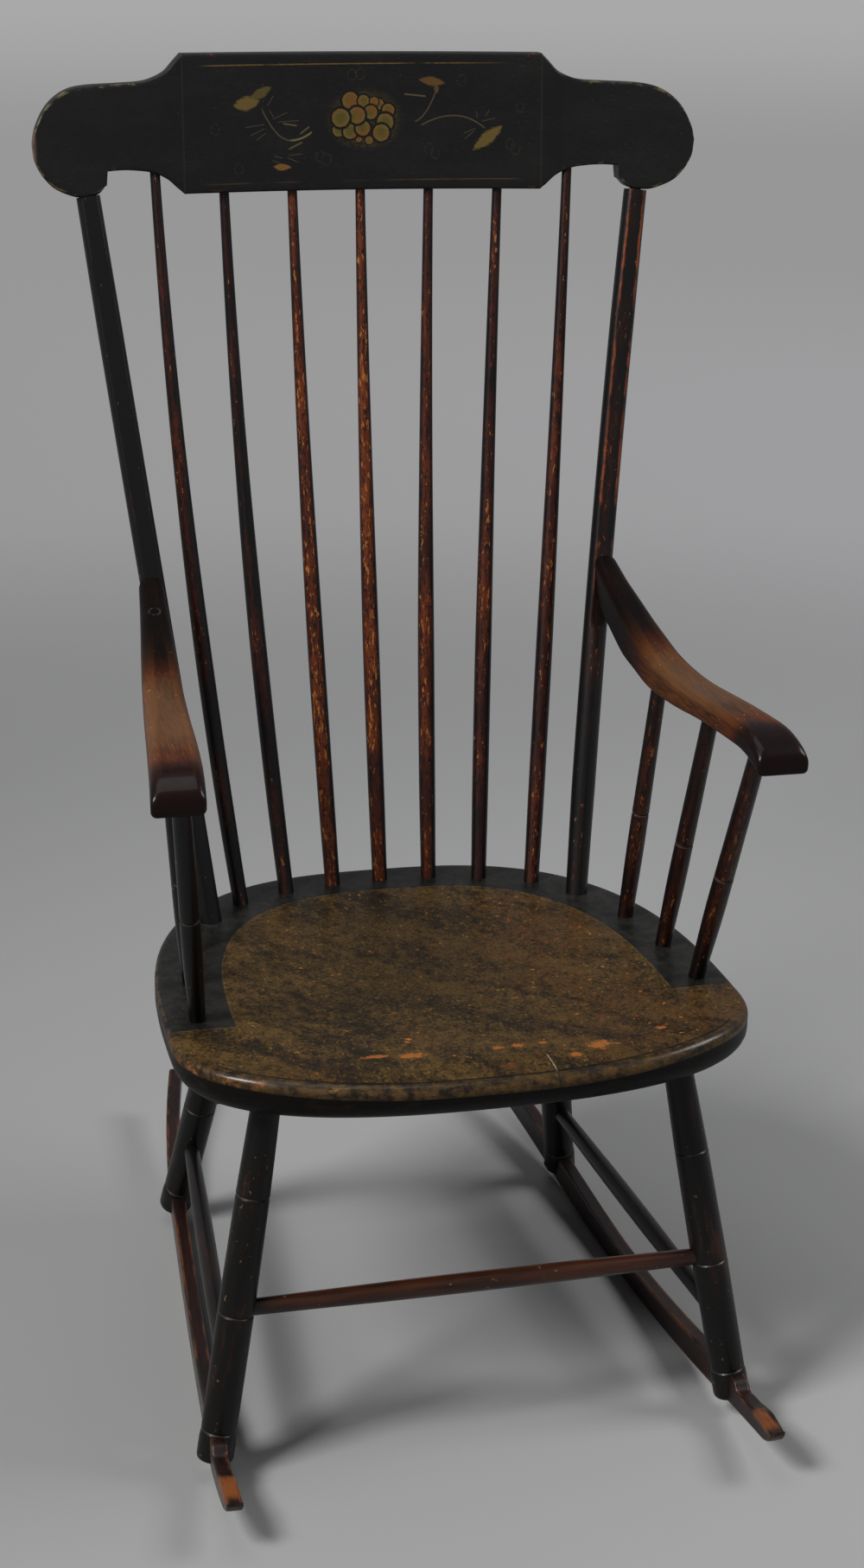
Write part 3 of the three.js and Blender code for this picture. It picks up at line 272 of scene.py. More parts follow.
SEAT_HEIGHT = 372
SEAT_UNDERSIDE = 332
SEAT_HALF_WIDTH = 257
SEAT_WIDEST_Y = -172
SEAT_FRONT_REACH = 132
SEAT_REAR_REACH = 355
SEAT_ROLL_Y = -258
SEAT_ROLL_LENGTH = 46
SEAT_ROLL_DROP = 9
SEAT_RIM = 60
SEAT_FRONT_RIM = 14
SEAT_HOLLOW = 5
SEAT_EDGE_ROUND = 7
UNDERCUT_DEPTH = 30
UNDERCUT_HEIGHT = 22
SHIFT_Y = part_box("seat")[0].y * 1000 - (SEAT_WIDEST_Y - SEAT_FRONT_REACH)


def ease(value, low, high):
    """Eases from 0 at low to 1 at high."""
    share = np.clip((value - low) / (high - low), 0, 1)
    return share * share * (3 - 2 * share)


def closed(grid):
    """The points of a grid in one list, and after them the middles of its first and its last row."""
    return np.concatenate([grid.reshape(-1, grid.shape[-1]), grid[:1].mean(axis=1), grid[-1:].mean(axis=1)])


def lay_skin(name, rows, finish, slot, replaced, **marks):
    """A closed skin over a grid of points: each row runs once round the piece, the rows follow one another, and
    each end closes on its middle point. Marks are numbers or vectors kept at each point of the grid."""
    count, around = rows.shape[:2]
    quads = grid_faces(count, around)
    first, last = np.arange(around), np.arange(around) + (count - 1) * around
    fans = np.concatenate([
        np.stack([np.full(around, count * around), np.roll(first, -1), first], axis=1),
        np.stack([np.full(around, count * around + 1), last, np.roll(last, -1)], axis=1)])
    points = closed(rows)
    halves = np.concatenate([quads[:, :3], quads[:, [0, 2, 3]], fans])
    a, b, c = (points[halves[:, i]] - points[-1] for i in range(3))
    if np.einsum("ij,ij->", a, np.cross(b, c)) < 0:
        quads, fans = quads[:, ::-1], fans[:, ::-1]
    piece = show(name, ((points + [0, SHIFT_Y, 0]) / 1000).tolist(), quads.tolist() + fans.tolist())
    for mark, values in marks.items():
        kept = closed(np.broadcast_to(values, rows.shape[:2] + np.shape(values)[2:]).reshape(count, around, -1))
        kind, field = ("FLOAT_VECTOR", "vector") if kept.shape[1] == 3 else ("FLOAT", "value")
        piece.data.attributes.new(mark, kind, "POINT").data.foreach_set(field, kept.astype(np.float32).ravel())
    piece.data.set_sharp_from_angle(angle=math.radians(38))
    piece.data.materials.append(finish.material)
    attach(piece, "root")
    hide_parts(*replaced)


def seat_outline(angle, inset):
    """Half ovals in front and behind, the sum of |x/a| and |y/b|, each to the power n, being 1. They meet where
    the seat is widest, and n is 2.5 in front and 2.8 behind."""
    across, back = -np.sin(angle), np.cos(angle)
    reach = np.where(back > 0, SEAT_REAR_REACH, SEAT_FRONT_REACH)
    power = 2 / np.where(back > 0, 2.8, 2.5)
    x = (SEAT_HALF_WIDTH - inset) * np.sign(across) * np.abs(across) ** power
    y = SEAT_WIDEST_Y + (reach - inset) * np.sign(back) * np.abs(back) ** power
    return x, y


def seat_top(y):
    """Level, and in front it rolls down as a parabola."""
    return SEAT_HEIGHT - SEAT_ROLL_DROP * np.clip((SEAT_ROLL_Y - y) / SEAT_ROLL_LENGTH, 0, 1) ** 2


def make_seat(finish):
    """Rings from under the seat up its edge and in over its top: a lower edge hollowed as a quarter ellipse, an
    upright side, a quarter round, the flat rim that eases to its narrow front, and a hollow that sinks as the sine
    of the way to its middle. The mark is the way in from the edge, below 0 under it."""
    angle = whole_turn(480)
    quarter = np.linspace(0, math.pi / 2, 9)
    rows, marks = [], []

    def add(inset, height, under=0):
        rows.append(joined(*seat_outline(angle, inset), height))
        marks.append(np.broadcast_to(inset - under, angle.shape))

    low = SEAT_UNDERSIDE + UNDERCUT_HEIGHT
    for bend in quarter:
        add(UNDERCUT_DEPTH * (1 - math.sin(bend)), low - UNDERCUT_HEIGHT * math.cos(bend), 40)
    high = seat_top(seat_outline(angle, 0)[1]) - SEAT_EDGE_ROUND
    for share in np.linspace(0.1, 0.9, 4):
        add(0, low + (high - low) * share, 20 * (1 - share))
    for bend in quarter:
        inset = SEAT_EDGE_ROUND * (1 - math.cos(bend))
        add(inset, seat_top(seat_outline(angle, inset)[1]) - SEAT_EDGE_ROUND * (1 - math.sin(bend)))
    rim = SEAT_FRONT_RIM + (SEAT_RIM - SEAT_FRONT_RIM) * ease(np.cos(angle), -0.75, -0.25)
    for share in np.linspace(0.1, 1, 12):
        inset = SEAT_EDGE_ROUND + (rim - SEAT_EDGE_ROUND) * share
        add(inset, seat_top(seat_outline(angle, inset)[1]))
    bowl, middle = rows[-1], np.array([0, SEAT_WIDEST_Y + (SEAT_REAR_REACH - SEAT_FRONT_REACH) / 2, 0])
    for share in np.linspace(0.03, 0.99, 34):
        ring = bowl + (middle - bowl) * share
        ring[:, 2] = seat_top(ring[:, 1]) - SEAT_HOLLOW * math.sin(share * math.pi / 2)
        rows.append(ring)
        marks.append(rim + 190 * share)
    lay_skin("seat_plank", np.array(rows), finish, "seat_graining", ["seat"], inset=np.array(marks))


def seat_finish():
    """Olive-brown graining with flecks of gold, red and orange in the hollow, a dark grey band round it with a
    thin line at its edge, a thin dark line and a worn golden nose along the front, and black below. A few large
    orange blots, scratches and a short pale crack lie where the photograph has them."""
    f = Finish("seat_graining", Coat_Roughness=0.2, Specular_IOR_Level=0.12)
    place = f.spot()
    x, y, z = f.place()
    inset = f.mark("inset")

    def clouds(across, deep, scale, detail, rough=0.5):
        """Noise that changes faster or slower across the seat and from front to back."""
        return f.noise(f.stretched(place, (across, deep, 1)), scale, detail, rough)

    def turned(vector, angle, stretch):
        """A vector turned about the upright and drawn out."""
        given = {"Vector": vector, "Rotation": (0, 0, angle), "Scale": stretch}
        return f.node("Mapping", {"vector_type": "TEXTURE"}, given)

    wander = (f.noise(place, 25, 3) - 0.5) * 2
    edge = inset + wander * 0.6
    top = inset.rise(-0.5, 0.5)
    band = edge.rise(60.2, 58.8) * (y + wander * 0.8).rise(-163.2, -161.8) * inset.rise(-2, 0)
    beside = edge.within(59.2, 60.6, 0.6) * y.rise(-163, -161)
    line = beside + (y + wander * 0.6).within(-163.6, -162.2, 0.6) * inset.rise(60, 58) * top
    swirl = f.node("VectorMath", {"operation": "ADD"}, {0: place, 1: f.stretched(f.noise(place, 18, 2), (0.04,) * 3)})
    smoke = f.noise(turned(swirl, -0.8, (3, 0.7, 1)), 20, 5, 0.6)
    mottle = clouds(1, 0.8, 95, 4, 0.7)
    fine = f.noise(place, 330, 3, 0.7)
    shade = mottle * 0.4 + fine * 0.6 + smoke * 0.4
    f.colour = f.mix(shade.rise(0.56, 0.84), "#1a130b", "#543f20")
    russet = f.noise(place, 7, 3, 0.6) + x * 0.0006 - y * 0.0003
    f.lay(russet.rise(0.5, 0.72) * mottle.rise(0.35, 0.65) * 0.6, "#402614")
    f.lay(smoke.rise(0.46, 0.34) * 0.45, "#1a160f")
    f.lay(clouds(1, 0.8, 300, 2, 0.65).rise(0.6, 0.7) * mottle.rise(0.4, 0.6) * 0.75, "#7c692f")
    red = clouds(1.2, 0.8, 210, 2, 0.6).rise(0.63, 0.69)
    f.lay(red * (russet + mottle * 0.3).rise(0.66, 0.85) * 0.7, "#7c3014")
    chips = clouds(0.8, 1.1, 120, 2, 0.7).rise(0.68, 0.73)
    f.lay(chips * (f.noise(place, 12, 2) + 0.1).rise(0.5, 0.62) * 0.9, "#a3622b")
    for cx, cy, length, width in ((-62, -247, 13, 5), (-93, -243, 10, 3), (13.6, -247, 4.5, 3.2), (31.5, -246, 5, 3.4),
                                  (53, -245, 3.5, 2.6), (74.5, -273, 5, 3), (99, -259, 9, 6), (162, -238, 4, 3)):
        reach = (((x - cx) / length) ** 2 + ((y - cy) / width) ** 2) ** 0.5
        f.lay((reach + (mottle - 0.5) * 2.2 + (fine - 0.5) * 3.5).rise(1.2, 0.8) * 0.7, "#a5602a")
    grey = f.mix((mottle * 0.7 + smoke * 0.4).rise(0.4, 0.75), "#0f1010", "#262421")
    f.lay(band, f.mix(f.noise(place, 420, 2).rise(0.66, 0.74) * 0.3, grey, "#5a554a"))
    f.lay(line.rise(0, 1) * mottle.rise(0.3, 0.6) * 0.4, "#5f5738")
    front = y.rise(-225, -250) * abs(x).rise(246, 228)
    f.lay(edge.within(9, 11, 0.7) * front * 0.85, "#0a0806")
    nose = f.mix((mottle * 0.5 + clouds(0.35, 1, 160, 4, 0.75) * 0.6).rise(0.45, 0.72), "#140d06", "#523d18")
    rubbed = edge.rise(9.2, 7.6) * y.rise(-205, -255) * inset.rise(-5, -1)
    f.lay(rubbed * 0.9, nose)
    scuffed = edge.within(0.5, 2.6, 0.8) * mottle.rise(0.4, 0.6) * (x.rise(120, -160) * 0.6 + 0.2) * y.rise(160, 60)
    f.lay(scuffed, "#513b26")
    # A thin golden line along the front top edge, stronger to the left: partly worn gold, partly a painted highlight.
    bright = (clouds(0.3, 1, 110, 4, 0.75) + x.rise(40, -120) * 0.05).rise(0.62, 0.74)
    f.lay(bright * edge.within(1, 5, 1.2) * y.rise(-235, -270) * 0.8, "#8a6c34")
    bare = (clouds(0.5, 0.7, 60, 4, 0.7) + x.rise(-170, -240) * 0.08).rise(0.6, 0.7)
    f.lay(bare * edge.within(-5, 3, 1.5) * y.rise(-190, -225) * x.rise(-120, -180), "#7c4e2c")
    f.lay(inset.rise(-2, -6), f.mix(clouds(0.4, 0.4, 90, 3).rise(0.55, 0.75), "#0c0907", "#1d1510"))
    scratch = f.noise(turned(place, 0.9, (0.15, 2, 1)), 70, 3, 0.7)
    f.lay(scratch.rise(0.72, 0.77) * top * 0.5, "#6b5c3c")
    crack = abs(x - 50 + (y + 268) * 0.09 + (fine - 0.5) * 1.5).rise(0.9, 0.3) * y.rise(-266, -271) * inset.rise(-4, 0)
    f.lay(crack * 0.8, f.mix(y.rise(-288, -296), "#8f8468", "#0a0806"))
    groove = edge.within(9, 11, 0.8) * front
    f.set(Roughness=0.36 + fine * 0.18 - band * 0.04, Coat_Weight=rubbed * 0.35 + top * 0.04,
          height=fine * 0.1 + mottle * 0.2 + band * 0.7 - groove * 0.8 + smoke * 0.2 - crack * 0.4)
    return f


make_seat(seat_finish())

# Crest rail
# One wide board, sawn with two round ears and bent to the sitter's back, its panel a little proud of the ears.
# Painted black, with thin gold lines and a gold stencil of fruit, leaves and scrolls.

CREST_BOTTOM = 1029
CREST_TOP = 1153
CREST_HALF_WIDTH = 310
CREST_PANEL = 170
CREST_THICKNESS = 19
CREST_MIDDLE_Y = 250
CREST_LEAN = 0.065
CREST_BEND_RADIUS = 961
CREST_ROUND = 2.5
SHOULDER_DROP = 25
NECK_RISE = 23
EAR_STEP = 1.6
LOBE_START = 242
LOBE_LENGTH = CREST_HALF_WIDTH - LOBE_START
EAR_LENGTH = CREST_HALF_WIDTH - CREST_PANEL
EAR_TOP = CREST_TOP - SHOULDER_DROP
EAR_HEIGHT = EAR_TOP - CREST_BOTTOM
EAR_TIP = EAR_TOP - EAR_HEIGHT * 0.52


def smooth_height(points):
    """A curve through the points, whose slope at each follows from its two neighbours, read as height over place."""
    points = np.asarray(points, float)
    padded = np.concatenate([points[:1], points, points[-1:]])
    share = np.linspace(0, 1, 24, endpoint=False)[None, :, None]
    a, b, c, d = (padded[i:len(points) - 1 + i, None] for i in range(4))
    line = (2 * b + (c - a) * share + (2 * a - 5 * b + 4 * c - d) * share ** 2
            + (3 * b - a - 3 * c + d) * share ** 3) / 2
    line = np.concatenate([line.reshape(-1, 2), points[-1:]])
    return lambda place: np.interp(place, line[:, 0], line[:, 1])


crest_top = smooth_height([
    *((CREST_PANEL + EAR_LENGTH * along, CREST_TOP - SHOULDER_DROP * down) for along, down in (
        (0, 0), (0.05, 0.28), (0.11, 0.62), (0.19, 0.84), (0.28, 0.96), (0.43, 1))),
    *((CREST_PANEL + EAR_LENGTH * along, EAR_TOP - EAR_HEIGHT * down) for along, down in (
        (0.64, 0.01), (0.76, 0.04), (0.86, 0.12), (0.93, 0.23), (0.98, 0.37), (0.996, 0.46), (1, 0.52)))])
crest_neck = smooth_height([(CREST_PANEL + (LOBE_START - CREST_PANEL) * along, CREST_BOTTOM + NECK_RISE * up)
                            for along, up in ((0, 0.04), (0.06, 0.16), (0.21, 0.57), (0.4, 0.85), (0.61, 0.96),
                                              (0.8, 1), (1, 0.98))])
crest_lobe = smooth_height([(LOBE_START + LOBE_LENGTH * along, CREST_BOTTOM + (EAR_TIP - CREST_BOTTOM) * up)
                            for along, up in ((0.035, 0.21), (0.14, 0.06), (0.32, 0.02), (0.48, 0.04), (0.72, 0.19),
                                              (0.87, 0.4), (0.97, 0.66), (0.993, 0.84), (1, 1))])


def crest_bottom(x):
    """Level under the panel, then the neck's hollow, then the ear's lobe."""
    out = np.abs(x)
    return np.where(out <= CREST_PANEL, CREST_BOTTOM, np.where(out <= LOBE_START, crest_neck(out), crest_lobe(out)))


def crest_face(x, z):
    """The front of the board follows an arc about an upright axis in front of it, and leans back with height."""
    middle = CREST_MIDDLE_Y + CREST_LEAN * (z - CREST_BOTTOM)
    return middle - (CREST_BEND_RADIUS - np.sqrt(CREST_BEND_RADIUS ** 2 - np.square(x)))


def board_section(left, right, bottom, top, rounds, face_steps, side_steps, corner_steps=5):
    """A row of rectangles with rounded corners, each run round from its lower left corner. Every corner is a
    quarter circle. Gives the two coordinates and the distance along the outline to the nearest corner."""
    left, right, bottom, top = np.broadcast_arrays(left, right, bottom, top)
    corners = ((left, bottom, 1, 1), (right, bottom, -1, 1), (right, top, -1, -1), (left, top, 1, -1))
    arcs = []
    for i, ((u, v, inward, upward), size) in enumerate(zip(corners, rounds)):
        bend = math.pi + (np.linspace(0, 1, corner_steps + 1) + i) * math.pi / 2
        arcs.append(np.stack([(u + inward * size)[:, None] + size[:, None] * np.cos(bend),
                              (v + upward * size)[:, None] + size[:, None] * np.sin(bend)], axis=-1))
    parts, away = [], []
    for i, arc in enumerate(arcs):
        share = np.linspace(0, 1, (side_steps if i % 2 else face_steps) + 1)[1:-1]
        run = arcs[(i + 1) % 4][:, :1] - arc[:, -1:]
        parts += [arc, arc[:, -1:] + run * share[:, None]]
        away += [np.zeros(arc.shape[:2]), np.linalg.norm(run, axis=-1) * np.minimum(share, 1 - share)]
    section = np.concatenate(parts, axis=1)
    return section[..., 0], section[..., 1], np.concatenate(away, axis=1)


def make_crest(finish):
    """A rounded rectangle of the board's thickness and height at each place across, laid on the bent face. The
    ears' front eases back a step behind the panel's, and their tips end in a low upright edge."""
    outward = np.concatenate([
        np.linspace(0, CREST_PANEL - 1, 60), np.linspace(CREST_PANEL, LOBE_START, 44), [LOBE_START + 1.2],
        LOBE_START + LOBE_LENGTH * np.sin(np.linspace(0.04, math.pi / 2, 56))])
    x = np.concatenate([-outward[:0:-1], outward])
    out = np.abs(x)
    tip = out >= CREST_HALF_WIDTH - 0.01
    high, low = EAR_TIP + CREST_ROUND, EAR_TIP - CREST_ROUND
    top = np.where(tip, high, np.maximum(crest_top(np.maximum(out, CREST_PANEL)), high))
    bottom = np.where(tip, low, np.minimum(crest_bottom(x), low))
    size = np.minimum(CREST_ROUND, (top - bottom) * 0.33)
    depth, z, away = board_section(0, CREST_THICKNESS, bottom, top, (size,) * 4, 6, 28)
    across, front = x[:, None], 1 - depth / CREST_THICKNESS
    step = EAR_STEP * ease(np.abs(across), CREST_PANEL + 1, CREST_PANEL + 22) * front
    rows = joined(across, crest_face(across, z) + depth + step, z)
    lay_skin("crest_board", rows, finish, "black_paint", ["crest_rail"], away=away, front=front,
             grain=joined(depth, z, across) / 1000)


def crest_finish():
    """Satin black with a faint brown ground showing through, worn ears and corners, and gold stencil work: two
    lines, a heap of fruit with dark outlines, soft leaves, thin curved stems and small brushed twigs."""
    f = Finish("crest_black", Coat_Weight=0.1, Coat_Roughness=0.25)
    x, y, z = f.place()
    away, front = f.mark("away"), f.mark("front").rise(0.7, 0.9)
    blotch = f.wood(0.35, 30, 4, 0.6)
    fine = f.wood(0.3, 500, 3, 0.6)
    out = abs(x)
    f.colour = f.mix((blotch * 0.8 + fine * 0.3).rise(0.45, 0.85), "#0c0c0d", "#181614")
    f.lay(fine.rise(0.62, 0.74) * 0.2, "#38322c")
    f.lay(f.wood(1, 260, 1).rise(0.76, 0.79) * 0.4, "#4a4238")
    crease = out.within(169.6, 171, 0.7) * front
    f.lay(crease * 0.12, "#4a443c")
    dusty = fine.rise(0.3, 0.62)

    def brush(mask, shade, strength=1.0):
        """Lays paint over what is there, a little broken by the surface."""
        f.lay(mask * front * strength, shade)

    def leaf(cx, cz, length, width, lean):
        """A pointed leaf, as wide as a parabola over its length."""
        u = (x - cx) * math.cos(lean) + (z - cz) * math.sin(lean)
        v = (z - cz) * math.cos(lean) - (x - cx) * math.sin(lean)
        return (abs(v) / width + (u / length) ** 2 + (fine - 0.5) * 0.9).rise(1.15, 0.7)

    def stem(x0, x1, z0, slope, bend, width):
        """A thin line that runs as a parabola from x0 to x1, as thick where it is steep."""
        along = x - x0
        steep = ((along * (2 * bend) + slope) ** 2 + 1) ** 0.5
        away_from = abs(z - (along * slope + along * along * bend + z0)) / steep
        return away_from.rise(width + 0.5, width - 0.2) * x.within(min(x0, x1), max(x0, x1), 1)

    def strokes(lines, width):
        """Short brushed lines, each between two points."""
        total = 0
        for x0, z0, x1, z1 in lines:
            length = math.hypot(x1 - x0, z1 - z0)
            u, v = (x1 - x0) / length, (z1 - z0) / length
            beside = abs((x - x0) * v - (z - z0) * u)
            ahead = (x - x0) * u + (z - z0) * v
            total = total + beside.rise(width + 0.4, width - 0.2) * ahead.within(0, length, 0.6)
        return total.rise(0, 1)

    ends = x.rise(-156, -138) * x.rise(152, 70)
    tilted = z - x * 0.006
    brush(tilted.within(1142.6, 1143.5, 0.4) * ends * (blotch + fine * 0.4).rise(0.5, 0.75), "#75592a", 0.75)
    brush(tilted.within(1037.2, 1038.2, 0.45) * out.rise(154, 140) * blotch.rise(0.42, 0.62), "#5e4528", 0.45)
    halo = ((x - 3) / 38) ** 2 + ((z - 1093) / 29) ** 2
    brush(halo.rise(1.1, 0.4) * dusty, "#3f341a", 0.7)
    blush = f.noise(f.spot(), 75, 2).rise(0.48, 0.62)
    for cx, cz, size in ((-10.6, 1110, 8.5), (2, 1109.5, 6), (16, 1106.5, 5.5), (12, 1109, 4.5), (7, 1074, 4),
                         (-3, 1075.5, 3.4), (-22, 1083.5, 6.5), (-11, 1082.3, 7.6), (1, 1085, 7.6), (8.8, 1099.4, 6.8),
                         (-4.4, 1096.7, 8.4), (25.3, 1101, 6.4), (-20, 1094.5, 9.2), (22.4, 1090.4, 8.6),
                         (18.5, 1080.8, 8.4)):
        reach = ((x - cx) ** 2 + (z - cz) ** 2) ** 0.5 / size
        brush(reach.rise(1.24, 1.1), "#0b0a09")
        shade = f.mix((reach + (fine - 0.5) * 0.6).rise(0.3, 0.95), "#4e461b", "#675426")
        shade = f.mix(blush * 0.7, shade, "#6f451d")
        brush((reach + (fine - 0.5) * 0.25).rise(0.95, 0.84), shade, 0.88)
    brush(leaf(-109.8, 1108.4, 13, 6.4, 0.15), "#655327", 0.8)
    brush(leaf(-96, 1117.4, 11.5, 4.6, 0.45), "#584a25", 0.7)
    brush(leaf(-76.8, 1051, 9, 3.2, -0.05), "#74542a", 0.8)
    brush(leaf(67, 1127, 12.5, 4.2, -0.12), "#5f4420", 0.75)
    brush(leaf(71, 1121, 5, 2.6, -1.3), "#5a4524", 0.5)
    brush(leaf(119.7, 1076, 18, 5.6, 0.68), "#655327", 0.8)
    brush(stem(-68, -95, 1074.8, 0, 0.0385, 0.5), "#4f4635", 0.7)
    brush(stem(-68, -48, 1074.8, 0, 0.0175, 0.7), "#6e6444", 0.75)
    brush(stem(51, 72, 1091, 0.28, 0.0555, 0.4), "#55482c", 0.7)
    brush(stem(88, 57, 1096.2, 0, -0.009, 0.4) + stem(88, 117, 1096.2, 0, -0.0135, 0.4), "#574b33", 0.7)
    brush(strokes(((-70, 1067, -57, 1073), (-59, 1080.5, -50, 1087), (41, 1115.6, 61, 1113.6),
                   (-75, 1090, -62, 1088)), 0.6), "#5c5136", 0.7)
    brush(strokes(((-111, 1087, -93, 1089.5), (-106, 1080, -93, 1085.5), (-101, 1075.5, -92, 1081.5),
                   (-85, 1094, -71, 1100), (-84, 1096, -88, 1102), (-80, 1091.5, -60, 1092.5), (-90, 1106, -84, 1115),
                   (-70, 1061.5, -57, 1062.5), (-71, 1059, -60, 1055), (-84, 1061, -76, 1059), (-86, 1057, -79, 1055),
                   (114, 1091, 127, 1094), (110, 1094, 109, 1100), (118, 1096, 121, 1101), (97, 1080, 108, 1084.5),
                   (98, 1075, 107, 1082)), 0.3), "#453f32", 0.65)
    for cx, cz, size in ((-9, 1133, 4), (-1, 1134, 4), (-40, 1060, 3.8), (-34, 1057.5, 4.2), (141, 1070, 4),
                         (146, 1066, 4), (64, 1066, 4), (70, 1062, 4), (-140, 1086, 4), (150, 1104, 3.6),
                         (-118, 1050, 4), (95, 1128, 4)):
        curl = ((x - cx) ** 2 + ((z - cz) * 0.8) ** 2) ** 0.5
        brush(curl.within(size - 0.4, size + 0.4, 0.5) * dusty, "#322e26", 0.6)
    worn = (f.wood(0.5, 120, 4, 0.65) + out.rise(240, 308) * 0.1).rise(0.54, 0.66)
    edge = away.rise(1.0, 0.1)
    f.lay(edge * worn * out.rise(168, 200) * 0.8, "#5c5238")
    f.lay(edge * worn * out.rise(172, 160) * out.rise(120, 165) * 0.9, "#7a3f1c")
    tip = out.rise(306.5, 308.5) * (fine + blotch + x.rise(200, -200) * 0.35).rise(0.9, 1.3)
    f.lay(tip * 0.6, "#614a38")
    f.set(Roughness=0.36 + fine * 0.14 + blotch * 0.06,
          height=fine * 0.06 + blotch * 0.3 + crease * 0.1)
    return f


make_crest(crest_finish())

# Back posts
# Two turned sticks, steamed to a slight bend and shaved flat in front above the arm. Each is tenoned into
# the seat and holds the crest's ear on a round tenon. The black paint has worn to red on the arrises.

POST_FOOT_X = 181
POST_FOOT_Y = 79
POST_TOP_X = 260.5
POST_BOW = 11
POST_RADIUS = 11.5
POST_FOOT_RADIUS = 10.5
POST_TOP_RADIUS = 10.8
POST_TENON_RADIUS = 5.5
POST_FLAT_WIDTH = 15.2
POST_FLAT = math.sqrt(POST_RADIUS ** 2 - (POST_FLAT_WIDTH / 2) ** 2)


def crest_socket(x):
    """The middle of the crest's underside at a place across the chair."""
    z = float(crest_bottom(x))
    return np.array([x, float(crest_face(x, z)) + CREST_THICKNESS / 2, z])


def stick_line(foot, head, bow, share):
    """From foot to head in a straight line, plus the bow times four times share times what is left of it; past its
    ends the stick runs on straight."""
    inside = np.clip(share, 0, 1)
    bend = 4 * inside * (1 - inside) + 4 * (1 - 2 * inside) * (share - inside)
    return foot + np.outer(share, head - foot) + np.outer(bend, bow)


def stick_frame(foot, head, bow, share):
    """The way along, across and to the front of a stick at each share of its length."""
    along = stick_line(foot, head, bow, share + 0.005) - stick_line(foot, head, bow, share - 0.005)
    along /= np.linalg.norm(along, axis=1, keepdims=True)
    level = np.array([1, 0, 0]) if abs(head[0] - foot[0]) < abs(head[2] - foot[2]) + abs(head[1] - foot[1]) \
        else np.array([0, 0, 1])
    across = level - along * (along @ level)[:, None]
    across /= np.linalg.norm(across, axis=1, keepdims=True)
    return along, across, np.cross(across, along)


def stick(name, foot, head, bow, share, radius, finish, slot, replaced, seed, age=0.5, flat=None, sides=56, cuts=20.0):
    """Circles of the given radius square to the stick's line. Where a flat is given, no point stands further to the
    front than it. Marks: the share of the length, how far a point looks to the front and a little left, the
    distance to the flat's edges and to the nearest scored ring, how worn the stick is, and the place in the wood."""
    foot, head, bow = (np.asarray(v, float) for v in (foot, head, bow))
    angle = whole_turn(sides)
    reach = np.broadcast_to(np.reshape(radius, (-1, 1)), (share.size, sides))
    arris = 20.0
    if flat is not None:
        edge = np.arccos(np.clip(flat / radius, -1, 1))[:, None]
        turned = np.minimum(angle, 2 * math.pi - angle)
        arris = np.where(edge > 0.15, np.abs(turned - edge) * radius[:, None], arris)
        ahead = np.maximum(np.cos(angle), 0.02)
        reach = np.where(ahead > 0.02, np.minimum(reach, flat[:, None] / ahead), reach)
    along, across, front = stick_frame(foot, head, bow, share)
    out = front[:, None] * np.cos(angle)[:, None] + across[:, None] * np.sin(angle)[:, None]
    rows = stick_line(foot, head, bow, share)[:, None] + out * reach[..., None]
    run = share[:, None] * np.linalg.norm(head - foot)
    grain = joined(np.cos(angle) * reach, np.sin(angle) * reach, run) / 1000 + seed * 1.7
    # The facing mark is how far a point looks towards the camera; the finishes use it for painted shade and light.
    lay_skin(name, rows, finish, slot, replaced, along=share[:, None], facing=out @ np.array([-0.3, -0.95, 0]),
             arris=arris, age=age, cut=np.reshape(cuts, (-1, 1)), grain=grain)


def post_ends(side):
    """The foot of a back post, its head and its bow."""
    foot = np.array([side * POST_FOOT_X, POST_FOOT_Y, SEAT_HEIGHT])
    return foot, crest_socket(side * POST_TOP_X), np.array([0, POST_BOW, 0])


def make_post(side, label, gap, finish):
    """A stick that thins a little at the seat and at the top and reaches 21 mm into the seat. Its flat eases out
    below the arm. The shoulder is sawn level a gap under the ear, and from it a tenon goes on to 26 mm past the
    crest's underside."""
    foot, head, bow = post_ends(side)
    length = np.linalg.norm(head - foot)
    ear = crest_bottom(POST_TOP_X + np.array([-1, 0, 1]) * POST_RADIUS).min()
    shoulder = (ear - gap - SEAT_HEIGHT) / (head[2] - SEAT_HEIGHT)
    share = np.concatenate([np.linspace(-21 / length, shoulder, 150), [shoulder + 1e-5],
                            np.linspace(shoulder + 2e-5, 1 + 26 / length, 8)])
    radii = [POST_FOOT_RADIUS, POST_RADIUS, POST_RADIUS, POST_TOP_RADIUS]
    radius = np.where(share > shoulder, POST_TENON_RADIUS, np.interp(share, [0.015, 0.15, 0.82, 1.01], radii))
    height = SEAT_HEIGHT + share * (head[2] - SEAT_HEIGHT)
    flat = POST_RADIUS + (POST_FLAT - POST_RADIUS) * ease(height, 614.5, 626.5)
    stick(f"{label}_post_stick", foot, head, bow, share, radius, finish, "streaked_paint", [f"{label}_back_post"],
          11 + side, 0.4 + side * 0.4, np.minimum(flat, radius), 72)


